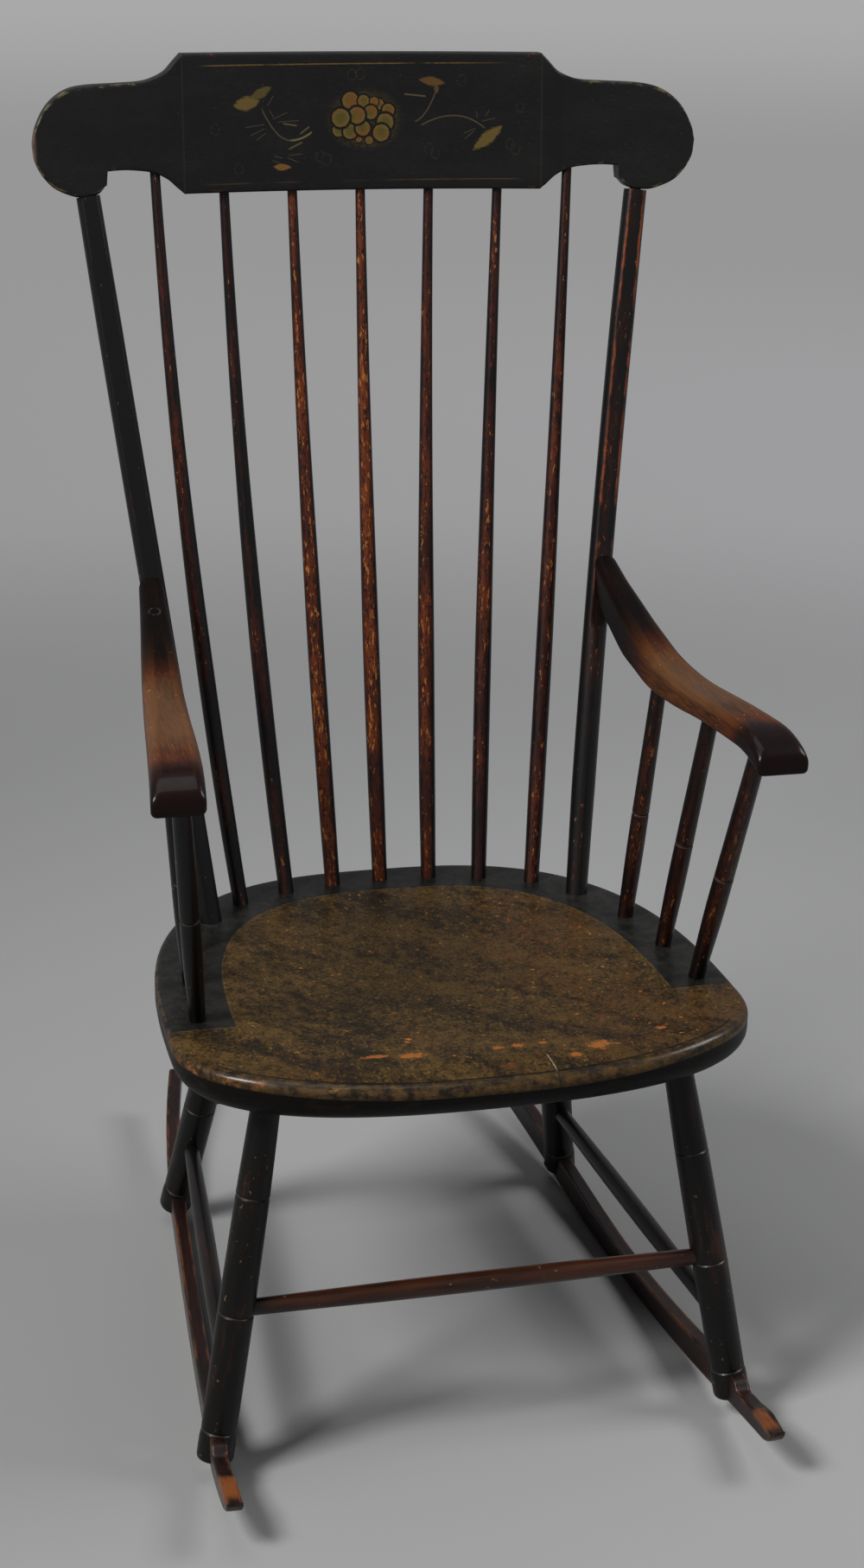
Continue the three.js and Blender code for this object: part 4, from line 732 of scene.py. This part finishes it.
def streaked_finish(name, dark, red, worn, bright, bias, arrises=0.0, sheen=0.34):
    """Black over red-brown paint, rubbed through more in the middle of the length and towards the front and a little
    left, but black at the sides as seen from there: real wear, with painted shade at the sides. Crisp dark flakes are
    left on it and golden ones rubbed out. More bias is more wear all over.
    Arrises are rubbed to bright red in stretches, as strongly as the number for them says."""
    f = Finish(name, Coat_Roughness=0.2)
    along, facing, age = f.mark("along"), f.mark("facing"), f.mark("age")
    streak = f.wood(0.1, 260, 4, 0.65)
    flake = f.wood(0.28, 400, 3, 0.7)
    patch = f.wood(0.35, 28, 4, 0.6)
    fine = f.wood(0.3, 900, 2, 0.6)
    middle = along.rise(0.02, 0.3) * along.rise(0.99, 0.6)
    # Painted shade: red-brown where the stick faces the camera and black at its sides, mixed into the real wear.
    turned = facing.rise(0.25, 1)
    wear_and_shade = turned * 0.55 + (patch - 0.5) * 1.2 + (streak - 0.5) * 0.6 + middle * 0.1 + age * 0.6 + bias
    f.colour = f.mix(wear_and_shade.rise(0.2, 0.55), dark, red)
    f.lay(wear_and_shade.rise(0.45, 0.95), worn)
    left_black = (flake * 0.8 + fine * 0.3).rise(0.57, 0.61) * wear_and_shade.rise(1.3, 0.7)
    f.lay(left_black * 0.85, dark)
    rubbed = f.wood(0.28, 330, 3, 0.7) + wear_and_shade.rise(0.1, 0.9) * 0.12
    gold = rubbed.rise(0.69, 0.72) * wear_and_shade.rise(0.15, 0.45)
    f.lay(gold * 0.75, bright)
    f.lay(f.wood(0.5, 330, 1).rise(0.76, 0.79) * 0.4, "#8c6642")
    cut = f.mark("cut").rise(2.4, 1.2)
    f.lay(cut * fine.rise(0.3, 0.7) * 0.35, "#4c4438")
    if arrises:
        edge = (f.mark("arris") + (flake - 0.5) * 4).rise(1.5, 0.3)
        stretch = (f.wood(1, 14, 3, 0.6, across=0) + age * 0.24).rise(0.6, 0.76) * along.rise(0.42, 0.46)
        f.lay(edge * stretch * arrises, "#8a3d18")
    f.set(Roughness=sheen + fine * 0.12 + gold * 0.1 + cut * 0.3, Coat_Weight=0.14 - cut * 0.14,
          height=fine * 0.05 + streak * 0.14 - gold * 0.1)
    return f


post_finish = streaked_finish("post_black", "#0a0a0a", "#1f0f0a", "#4a2410", "#82421c", -0.71, 0.85)
make_post(-1, "left", 0.4, post_finish)
make_post(1, "right", 1.5, post_finish)

# Back spindles
# Seven slender sticks with a low belly, steamed to the sitter's back and tenoned into seat and crest. Their
# black has rubbed away to streaks of red-brown and orange, and painted shade keeps their sides black.

SPINDLE_SPACING = 48.5
SPINDLE_HEAD_SPACING = POST_TOP_X * 0.2518
SPINDLE_ARC_RADIUS = 312
SPINDLE_MIDDLE_Y = 152
SPINDLE_BOW = 16.5
SPINDLE_SPREAD = 6.6


def make_spindle(number, bend, age, finish):
    """A stick that swells from 7.4 mm at the foot to 8.1 and thins to 4.6 at the head, bent back by its own bow
    and outwards with the square of its number from the middle. The feet stand on an arc. It reaches 20 mm into the
    seat and 16 into the crest."""
    place = number - 4
    foot_x = place * SPINDLE_SPACING
    foot_y = SPINDLE_MIDDLE_Y - (SPINDLE_ARC_RADIUS - math.sqrt(SPINDLE_ARC_RADIUS ** 2 - foot_x ** 2))
    foot, head = np.array([foot_x, foot_y, SEAT_HEIGHT]), crest_socket(place * SPINDLE_HEAD_SPACING)
    bow = np.array([SPINDLE_SPREAD * place * abs(place) / 9, SPINDLE_BOW * bend, 0])
    length = np.linalg.norm(head - foot)
    share = np.linspace(-20 / length, 1 + 16 / length, 150)
    radius = smooth_height([(-0.05, 7.4), (0.01, 7.4), (0.11, 7.96), (0.22, 8.1), (0.34, 8.1), (0.46, 7.54),
                            (0.6, 6.63), (0.75, 5.79), (0.88, 5.09), (0.99, 4.6), (1.05, 4.6)])(share)
    stick(f"spindle_{number}", foot, head, bow, share, radius, finish, "streaked_paint",
          [f"back_spindle_{number}"], number, age)


spindle_finish = streaked_finish("spindle_streaks", "#0a0707", "#34130b", "#682e10", "#a4662a", -0.48)
SPINDLE_BENDS = (1, 1.45, 0.8, 0.65, 0.8, 1, 1)
SPINDLE_AGES = (0.4, 0.36, 0.9, 1.05, 0.78, 0.6, 0.75)
for number, bend, age in zip(range(1, 8), SPINDLE_BENDS, SPINDLE_AGES):
    make_spindle(number, bend, age, spindle_finish)

# Arms
# Each is sawn from one thick board to a long S, wider in front, rolled down at the nose and cut to lie against
# the flat of the back post. Mahogany under dark varnish, which hands have rubbed through to orange-brown.

ARM_FRONT_Y = -250
ARM_REAR_Y = 158
ARM_HEIGHT = 631
ARM_RISE = 57.5
ARM_THICKNESS = 21
ARM_INNER, ARM_OUTER = 210, 232.5
ARM_INNER_TURN, ARM_OUTER_TURN = 23.5, 46.5
ARM_ROLL_LENGTH = 50
ARM_ROLL_DROP = 23
ARM_NOSE_ROUND = 4
HEEL_START_Y = 60
HEEL_HEIGHT = 667.5
HEEL_GAP = 0.3
arm_rise = smooth_height([(0, 0.01), (0.12, 0.02), (0.25, 0.01), (0.41, -0.03), (0.52, 0), (0.61, 0.09), (0.69, 0.25),
                          (0.78, 0.45), (0.86, 0.64), (0.93, 0.81), (1, 1.03)])
arm_swell = smooth_height([(0, 0), (0.3, 0), (0.41, 0.1), (0.52, 0.3), (0.6, 0.5), (0.69, 0.7), (0.78, 0.92),
                           (0.9, 0.95), (1, 1)])


def arm_heights(y):
    """The arm's underside and top: the sawn S, up to twice as thick at the heel. In front the top rolls down as a
    quarter ellipse and the underside drops as a parabola by 12.5 mm."""
    share = (y - ARM_FRONT_Y) / (ARM_REAR_Y - ARM_FRONT_Y)
    into = np.clip((ARM_FRONT_Y + ARM_ROLL_LENGTH - y) / ARM_ROLL_LENGTH, 0, 1)
    line = ARM_HEIGHT + ARM_RISE * arm_rise(share)
    under = line - ARM_THICKNESS * (1 + arm_swell(share)) - 12.5 * into ** 2
    return under, line - ARM_ROLL_DROP * (1 - np.sqrt(1 - into ** 2))


def post_plane(side, height):
    """A point on the line of the back post at a height, and the way its flat faces."""
    foot, head, bow = post_ends(side)
    share = np.array([(height - SEAT_HEIGHT) / (head[2] - SEAT_HEIGHT)])
    return stick_line(foot, head, bow, share)[0], stick_frame(foot, head, bow, share)[2][0]


def make_arm(side, label, finish):
    """Rounded rectangles at each place along, between an inner and an outer edge that turn out to the front, the
    outer one in a straight line and the inner one as the power 1.6. The heel is tipped to the post's flat, and the
    nose is drawn in all round as a quarter circle."""
    y = np.concatenate([ARM_FRONT_Y + 60 * (1 - np.cos(np.linspace(0, math.pi / 2, 34))),
                        np.linspace(ARM_FRONT_Y + 62, ARM_REAR_Y, 110)])
    back = np.clip(1 - (y - ARM_FRONT_Y) / (ARM_REAR_Y - ARM_FRONT_Y), 0, 1)
    bottom, top = arm_heights(y)
    nip = np.clip(ARM_FRONT_Y + ARM_NOSE_ROUND - y, 0, ARM_NOSE_ROUND)
    nip = ARM_NOSE_ROUND - np.sqrt(ARM_NOSE_ROUND ** 2 - nip ** 2)
    inner, outer = ARM_INNER + ARM_INNER_TURN * back ** 1.6 + nip, ARM_OUTER + ARM_OUTER_TURN * back - nip
    bottom, top = bottom + nip, top - nip
    rounds = [np.minimum(size, (top - bottom) * 0.42) for size in (5, 4.5, 10, 8)]
    out, z, away = board_section(inner, outer, bottom, top, rounds, 10, 8, 6)
    point, front = post_plane(side, HEEL_HEIGHT)
    plane = point + front * (POST_FLAT + HEEL_GAP)
    end = plane[1] - ((z - plane[2]) * front[2] + (out * side - plane[0]) * front[0]) / front[1]
    y = y[:, None]
    heel = HEEL_START_Y + (y - HEEL_START_Y) * (end - HEEL_START_Y) / (ARM_REAR_Y - HEEL_START_Y)
    along = np.where(y > HEEL_START_Y, heel, y)
    lay_skin(f"{label}_arm_board", joined(out * side, along, z), finish, "worn_mahogany", [f"{label}_arm"], away=away,
             across=(out - inner[:, None]) / (outer - inner)[:, None],
             high=(z - bottom[:, None]) / (top - bottom)[:, None], grain=joined(out, z, along) / 1000 + 3.1 * side)


def arm_finish():
    """Glossy dark varnish, nearly black at the heel and black-red at the nose, rubbed to brown and orange-brown
    between them with the grain showing. A painted grey-brown sheen lies on the top in the middle, and painted
    shade darkens the upper right side towards the heel. The heels have a thin pale scrape, and the left one also
    a ring mark."""
    f = Finish("rubbed_mahogany", Coat_Roughness=0.14, Specular_IOR_Level=0.08)
    x, y, z = f.place()
    away, across, high = f.mark("away"), f.mark("across"), f.mark("high")
    fibre = f.wood(0.06, 520, 3, 0.6)
    patch = f.wood(0.5, 22, 4, 0.55)
    fine = f.wood(0.5, 800, 2)
    drift = (patch - 0.5) * 60
    middle = (y + drift * 0.5).rise(-236, -176) * (y + drift * 0.3).rise(90, -50)
    f.colour = f.mix((fibre * 0.6 + patch * 0.5).rise(0.4, 0.7), "#2a1308", "#5e3315")
    # Painted sheen: a grey-brown reflection laid on the top in the middle of the arm.
    f.lay(high.rise(0.5, 1) * (y + drift).within(-165, 10, 60) * 0.5, "#5a4531")
    # Painted shade: the upper right side of each arm darkens towards the heel.
    painted_shade_right = across * x.rise(-10, 10) + (1 - across) * x.rise(10, -10)
    f.lay(painted_shade_right.rise(0.5, 1) * high.rise(0.4, 0.8) * y.rise(-110, 0) * 0.6, "#24120a")
    dark = f.mix((fibre * 0.4 + patch * 0.5).rise(0.38, 0.6), "#080505", "#150906")
    rub = (middle + (patch - 0.5) * 0.5 + (fibre - 0.5) * 0.3).rise(0.1, 1)
    dark = f.mix(y.rise(-120, -200) * (patch * 0.6 + fibre * 0.5).rise(0.3, 0.6), dark, "#150605")
    f.lay(y.rise(-150, -215) * 0.7, "#4a1d0b")
    f.colour = f.mix(rub.rise(0.35, 1), f.mix(rub.rise(0, 0.6), dark, "#33150a"), f.colour)
    f.lay(fine.rise(0.62, 0.74) * 0.3, "#1a0c08")
    edge = away.rise(2.5, 0.5) * high.rise(0.7, 0.85) * middle
    f.lay(edge * 0.2, "#7a4a22")
    chips = f.wood(1, 260, 1).rise(0.74, 0.77) * middle
    f.lay(chips * 0.6, "#a98352")
    scrape = (fibre - 0.5) * 1.5 + across.rise(0.14, 0.04) * high.rise(0.9, 0.96) * y.within(110, 130, 3)
    f.lay(scrape.rise(0.65, 0.9) * 0.8, "#8c867e")
    ring = ((across * 26 - 13) ** 2 + (y - 104) ** 2) ** 0.5 + (patch - 0.5) * 2
    f.lay(ring.within(4.4, 5.6, 0.6) * high.rise(0.9, 0.96) * x.rise(0, -10) * fibre.rise(0.4, 0.6) * 0.35, "#5b524c")
    f.set(Roughness=0.3 + rub * 0.12 + fine * 0.08,
          Coat_Weight=y.rise(-190, -232) * 0.14 + y.rise(60, -60) * 0.08,
          height=fibre * 0.06 + fine * 0.03 + patch * 0.3)
    return f


SIDES = ((-1, "left"), (1, "right"))
rubbed_arm = arm_finish()
for side, label in SIDES:
    make_arm(side, label, rubbed_arm)

# Arm supports
# Under each arm a front post and two spindles, turned with a slight belly and one scored ring, and tenoned into
# seat and arm. Their paint has rubbed to orange-brown on the left, and painted shade keeps their sides black.

RING_HALF_WIDTH = 1.3
RING_DEPTH = 1.1
SUPPORT_FOOT_RADIUS = 7.4


def from_ring(distance, rings):
    """The distance along a stick to its nearest scored ring."""
    return np.abs(distance[:, None] - np.array(rings)).min(axis=1)


def ringed(radius, away):
    """A turned profile with a V cut at each ring."""
    return radius - RING_DEPTH * np.clip(1 - away / RING_HALF_WIDTH, 0, 1)


def make_support(side, label, name, foot, head, radius, tip, finish, seed):
    """A straight stick that swells to its belly three tenths up and thins to its tip under the arm, with a ring at
    0.45 of its length. It reaches 20 mm into the seat and 8 into the arm."""
    foot = np.array([side * foot[0], foot[1], SEAT_HEIGHT])
    head = np.array([side * head[0], head[1], float(arm_heights(head[1])[0])])
    length = np.linalg.norm(head - foot)
    ring = length * 0.45
    share = np.unique(np.concatenate([np.linspace(-20 / length, 1 + 8 / length, 90),
                                      (ring + np.linspace(-2, 2, 17)) / length]))
    body = smooth_height([(-0.1, SUPPORT_FOOT_RADIUS), (0.03, SUPPORT_FOOT_RADIUS), (0.3, radius),
                          (0.6, radius * 0.6 + tip * 0.4), (0.97, tip), (1.2, tip)])(share)
    away = from_ring(share * length, [ring])
    stick(f"{label}_{name}_stick", foot, head, np.zeros(3), share, ringed(body, away), finish, "streaked_paint",
          [f"{label}_{name}"], seed * side, 0.45 + side * 0.35, cuts=away)


support_finish = streaked_finish("support_streaks", "#0a0707", "#2a110b", "#45210f", "#7a481c", -0.55, 0, 0.3)
for side, label in SIDES:
    make_support(side, label, "arm_front_post", (228, -141), (249.5, -209), 8.9, 8, support_finish, 21)
    make_support(side, label, "arm_spindle_front", (222, -64), (244, -102), 8.5, 7.5, support_finish, 23)
    make_support(side, label, "arm_spindle_rear", (209, 10), (231, 4), 8.2, 7.2, support_finish, 25)

# Legs
# Four turned legs with three scored rings, tenoned up into the seat and slotted over the rockers at the foot.
# Nearly black, with the old red-brown coming through.

FRONT_LEG = dict(top=(182.6, -224.6), foot=(236, -277.3, 20), skew=-4, spacing=105)
BACK_LEG = dict(top=(153.8, 83.5), foot=(206, 182.3, 17), skew=0, spacing=112)
FIRST_RING = 26


def leg_ends(side, leg):
    """A leg's foot and the point where it enters the seat's underside."""
    foot = np.array([side * leg["foot"][0] + leg["skew"], leg["foot"][1], leg["foot"][2]])
    return foot, np.array([side * leg["top"][0], leg["top"][1], SEAT_UNDERSIDE])


def leg_point(side, leg, distance):
    """The point on a leg's line at a distance up from its foot."""
    foot, top = leg_ends(side, leg)
    return foot + (top - foot) / np.linalg.norm(top - foot) * distance


def make_leg(side, label, end, leg, finish, seed):
    """A straight stick whose radius goes from 16.2 mm in the foot through 15.5, 16 and 14.9 at the rings to 13. It
    reaches 21 mm into the seat, and the end of its foot is rounded over 3 mm."""
    foot, top = leg_ends(side, leg)
    length = np.linalg.norm(top - foot)
    rings = [FIRST_RING + leg["spacing"] * i for i in range(3)]
    distance = np.unique(np.concatenate([np.linspace(0, 3, 5), np.linspace(3, length + 21, 110),
                                         *[ring + np.linspace(-2.2, 2.2, 19) for ring in rings]]))
    body = np.interp(distance, [0, 1, 3, rings[0] - 5.2, rings[0] - 1.3, rings[1], rings[2], length - 12, length + 21],
                     [14.7, 15.6, 16.2, 16.2, 15.5, 16, 14.9, 13, 13])
    away = from_ring(distance, rings)
    stick(f"{label}_{end}_leg_turning", foot, top, np.zeros(3), distance / length, ringed(body, away), finish,
          "black_paint", [f"{label}_{end}_leg"], seed * side, cuts=away)


def leg_finish():
    """Near-black with thin red-brown showing along the grain, a touch lighter where it faces the camera as painted
    light, and paler in the scored rings.
    """
    f = Finish("leg_black", Coat_Weight=0.1, Coat_Roughness=0.22)
    facing = f.mark("facing")
    streak = f.wood(0.12, 160, 4, 0.65)
    patch = f.wood(0.5, 20, 3, 0.6)
    fine = f.wood(0.4, 700, 2)
    # Painted light: a touch lighter where the leg faces the camera.
    f.colour = f.mix((streak * 0.6 + patch * 0.5 + facing * 0.06).rise(0.54, 0.85), "#080706", "#1c100c")
    f.lay((streak + patch + fine * 0.4).rise(1.3, 1.5) * 0.4, "#4e2c1a")
    f.lay(f.wood(1, 260, 1).rise(0.73, 0.77) * 0.5, "#7d6246")
    cuts = (f.mark("cut") + (fine - 0.5) * 0.7).rise(0.9, 0.3)
    f.lay(cuts * 0.4, "#574e40")
    f.set(Roughness=0.33 + fine * 0.14, height=fine * 0.06 + streak * 0.14)
    return f


leg_black = leg_finish()
for side, label in SIDES:
    make_leg(side, label, "front", FRONT_LEG, leg_black, 31)
    make_leg(side, label, "back", BACK_LEG, leg_black, 33)

# Stretchers
# Four turned sticks of hard wood that hold the legs apart, thickest in the middle, with thin ends that are let
# into bores in the legs. The front one keeps more of its red than the other three.

STRETCHER_END_RADIUS = 7.5
STRETCHER_RADIUS = 8.9


def make_stretcher(name, start, stop, finish, slot, seed):
    """A straight stick that keeps its end radius over 32 mm and swells to its middle as a smooth curve. It ends
    1 mm past the middle of each leg."""
    length = np.linalg.norm(stop - start)
    share = np.linspace(-1 / length, 1 + 1 / length, 90)
    radius = smooth_height([(-0.1, STRETCHER_END_RADIUS), (32 / length, STRETCHER_END_RADIUS), (0.32, 8.6),
                            (0.5, STRETCHER_RADIUS), (0.68, 8.6), (1 - 32 / length, STRETCHER_END_RADIUS),
                            (1.1, STRETCHER_END_RADIUS)])(share)
    stick(f"{name}_stick", start, stop, np.zeros(3), share, radius, finish, slot, [name], seed)


def across_finish():
    """Satin red-brown with darker ends and faint streaks along the wood."""
    f = Finish("stretcher_red", Coat_Weight=0.35, Coat_Roughness=0.15)
    along = f.mark("along")
    streak = f.wood(0.1, 170, 4, 0.6)
    patch = f.wood(0.4, 24, 3, 0.6)
    fine = f.wood(0.4, 700, 2)
    ends = 1 - along.rise(0.02, 0.2) * along.rise(0.98, 0.8)
    f.colour = f.mix((streak * 0.5 + patch * 0.6 - ends * 0.15).rise(0.35, 0.7), "#160b07", "#432211")
    f.lay(fine.rise(0.6, 0.72) * 0.4, "#1b0e0b")
    f.lay(f.wood(0.5, 300, 1).rise(0.73, 0.77) * 0.5, "#94683f")
    f.set(Roughness=0.3 + fine * 0.12, height=fine * 0.05 + streak * 0.12)
    return f


red_stretcher = across_finish()
side_finish = streaked_finish("side_stretcher_maroon", "#0d0908", "#2b1410", "#3f2217", "#5e3a26", -0.12)
for name, leg, height, finish, slot, seed in (
        ("front_stretcher", FRONT_LEG, 135, red_stretcher, "streaked_paint", 41),
        ("back_stretcher", BACK_LEG, 148, side_finish, "black_paint", 43)):
    make_stretcher(name, leg_point(-1, leg, height), leg_point(1, leg, height), finish, slot, seed)
for side, label in SIDES:
    make_stretcher(f"{label}_side_stretcher", leg_point(side, FRONT_LEG, FIRST_RING + FRONT_LEG["spacing"] * 0.47),
                   leg_point(side, BACK_LEG, FIRST_RING + BACK_LEG["spacing"] * 0.53), side_finish, "black_paint",
                   45 + side)

# Rockers
# Two blades sawn from plank, their underside an arc, running through the slotted feet. The nose is carved with
# a scoop behind a worn hump, and the tail toes inwards.

ROCKER_NOSE, ROCKER_TAIL = -390, 410
ROCKER_RADIUS = 2000
ROCKER_FLAT = 34
LOWEST_Y = -10.5
LAND_REACH = 22
LAND_HEIGHT = 27
BLADE_HALF = 7
NOSE_BEND = 5
TAIL_BEND = 16


def rocker_under(y):
    """An arc about a point over the floor, sawn as straight flats, the lowest of them on the floor."""
    start = (np.floor((y - LOWEST_Y) / ROCKER_FLAT + 0.5) - 0.5) * ROCKER_FLAT
    before, after, lowest = (ROCKER_RADIUS - np.sqrt(ROCKER_RADIUS ** 2 - place ** 2)
                             for place in (start, start + ROCKER_FLAT, ROCKER_FLAT / 2))
    return before + (after - before) * (y - LOWEST_Y - start) / ROCKER_FLAT - lowest


def round_off(distance, length):
    """What a rounded end still lacks of its height: from 1 at the end to 0 at a length from it, as a quarter circle."""
    return 1 - np.sqrt(1 - (1 - np.minimum(distance / length, 1)) ** 2)


def make_rocker(side, label, finish):
    """Upright rounded rectangles between the arc and a top that eases from land to land. The nose and tail are
    rounded, and past the feet the blade bends inwards with the square of the way."""
    front, back = (leg_point(side, leg, 13) for leg in (FRONT_LEG, BACK_LEG))
    turn = math.atan2(front[0] - back[0], back[1] - front[1])
    centre = front + (back - front) * front[1] / (front[1] - back[1])
    ahead, behind = (math.copysign(math.hypot(*(p - centre)[:2]), p[1]) for p in (front, back))
    y = np.unique(np.concatenate([ROCKER_NOSE + 24 * (1 - np.cos(np.linspace(0, math.pi / 2, 16))),
                                  np.linspace(ROCKER_NOSE + 26, ROCKER_TAIL - 9, 330),
                                  ROCKER_TAIL - 8 * (1 - np.cos(np.linspace(0, math.pi / 2, 12)))]))
    nose = ahead - LAND_REACH - ROCKER_NOSE
    places, heights = np.array([
        (ROCKER_NOSE, 14.5), *((ROCKER_NOSE + nose * share, height) for share, height in (
            (0.345, 20), (0.635, 18), (0.87, 18), (1, LAND_HEIGHT))),
        (ahead + LAND_REACH, LAND_HEIGHT), ((ahead + behind) / 2, 23.5), (behind - LAND_REACH, LAND_HEIGHT),
        (behind + LAND_REACH, LAND_HEIGHT), (ROCKER_TAIL, 20)]).T
    i = np.clip(np.searchsorted(places, y) - 1, 0, len(places) - 2)
    over = rocker_under(y) + heights[i] + (heights[i + 1] - heights[i]) * ease(y, places[i], places[i + 1])
    tail = 8 * round_off(ROCKER_TAIL - y, 8)
    under = rocker_under(y) + 10.5 * round_off(y - ROCKER_NOSE, 24) + tail
    over = over - tail
    for foot in (ahead, behind):
        low, high = rocker_under(np.array([foot - LAND_REACH, foot + LAND_REACH]))
        land = low + (high - low) * (y - foot + LAND_REACH) / (2 * LAND_REACH) + LAND_HEIGHT
        over = np.where(np.abs(y - foot) <= LAND_REACH, land, over)
    bend = NOSE_BEND * np.maximum(0, (ahead - y) / (ahead - ROCKER_NOSE)) ** 2
    middle = -side * (bend + TAIL_BEND * np.maximum(0, (y - behind) / (ROCKER_TAIL - behind)) ** 2)
    size = np.minimum(2.0, (over - under) * 0.33)
    across, z, away = board_section(middle - BLADE_HALF, middle + BLADE_HALF, under, over, (size,) * 4, 6, 10, 4)
    y, middle, under, over = (row[:, None] for row in (y, middle, under, over))
    rows = joined(centre[0] + across * math.cos(turn) - y * math.sin(turn),
                  centre[1] + across * math.sin(turn) + y * math.cos(turn), z)
    lay_skin(f"{label}_rocker_blade", rows, finish, "black_paint", [f"{label}_rocker"], away=away,
             high=(z - under) / (over - under), outer=side * (across - middle) / BLADE_HALF, blade=y,
             grain=joined(across, z, y) / 1000 + 5.3 * side)


def rocker_finish():
    """Dark red-brown on top, greyed tan-brown on the outer face, and at the nose a dark scoop, a hump rubbed to
    orange and a dark tip; the edges are worn."""
    f = Finish("rocker_brown", Coat_Weight=0.15, Coat_Roughness=0.25)
    away, high, outer, blade = (f.mark(name) for name in ("away", "high", "outer", "blade"))
    fibre = f.wood(0.08, 300, 4, 0.65)
    patch = f.wood(0.4, 22, 4, 0.6)
    fine = f.wood(0.4, 700, 2)
    dark = f.mix((fibre * 0.5 + patch * 0.6).rise(0.4, 0.72), "#0e0807", "#2b130d")
    pale = f.mix(fibre.rise(0.3, 0.7), "#2b251f", "#574d41")
    greyed = outer.rise(0.75, 0.98) * (patch * 0.8 + fibre * 0.5).rise(0.4, 0.62) * high.rise(0.95, 0.85)
    f.colour = f.mix(greyed, dark, pale)
    hump = blade.within(-382, -348, 6) * high.rise(0.5, 0.85) * (patch + fibre * 0.6).rise(0.55, 0.82)
    f.lay(hump * 0.85, "#7c4620")
    worn = away.rise(1.5, 0.2) * (patch * 0.7 + fibre * 0.6).rise(0.62, 0.76)
    f.lay(worn * 0.7, "#6b3d22")
    f.lay(high.rise(0.12, 0.02) * 0.7, "#5a4e41")
    f.set(Roughness=0.36 + fine * 0.14, height=fine * 0.05 + fibre * 0.14)
    return f


rocker_brown = rocker_finish()
for side, label in SIDES:
    make_rocker(side, label, rocker_brown)

# Pegs
# Small whittled pins of bare wood, driven through the feet and rockers, from behind through the posts into the
# arms' heels, and into the crest's tenons.


def peg_finish():
    """Brown end grain, mottled darker and lighter by fine noise."""
    f = Finish("peg_end_grain", Roughness=0.6)
    dots = f.noise(f.spot(), 900, 3, 0.6)
    f.colour = f.mix(dots.rise(0.35, 0.7), "#2b1a10", "#6b4a2c")
    f.set(height=dots * 0.05)
    return f


def make_peg(node, radius, proud, finish):
    """A round pin along the measured peg's axis, longer by the given amount at both ends, which are domed."""
    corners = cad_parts[node].data.vertices
    points = np.empty(len(corners) * 3, np.float32)
    corners.foreach_get("co", points)
    points = points.reshape(-1, 3).astype(float) * 1000 - [0, SHIFT_Y, 0]
    middle = (points.min(axis=0) + points.max(axis=0)) / 2
    axis = np.linalg.svd(points - points.mean(axis=0))[2][0]
    half = np.abs((points - middle) @ axis).max() + proud
    across = np.cross(axis, [0, 0, 1])
    across /= np.linalg.norm(across)
    angle = whole_turn(24)[:, None]
    circle = np.cos(angle) * across + np.sin(angle) * np.cross(axis, across)
    dome = np.linspace(0.05, 1, 8) * math.pi / 2
    reach = radius * np.sin(np.concatenate([dome, dome[::-1]]))
    height = half - (1 - np.cos(dome)) * 0.7
    place = np.concatenate([-height, height[::-1]])
    rows = middle + place[:, None, None] * axis + reach[:, None, None] * circle
    lay_skin(f"{node}_pin", rows, finish, "bare_wood", [node])


end_grain = peg_finish()
for _, label in SIDES:
    for name, radius, proud in (("front_rocker", 3, 1.9), ("back_rocker", 3, 1.9), ("arm", 3, 0.9), ("crest", 2, 0.4)):
        make_peg(f"{label}_{name}_peg", radius, proud, end_grain)
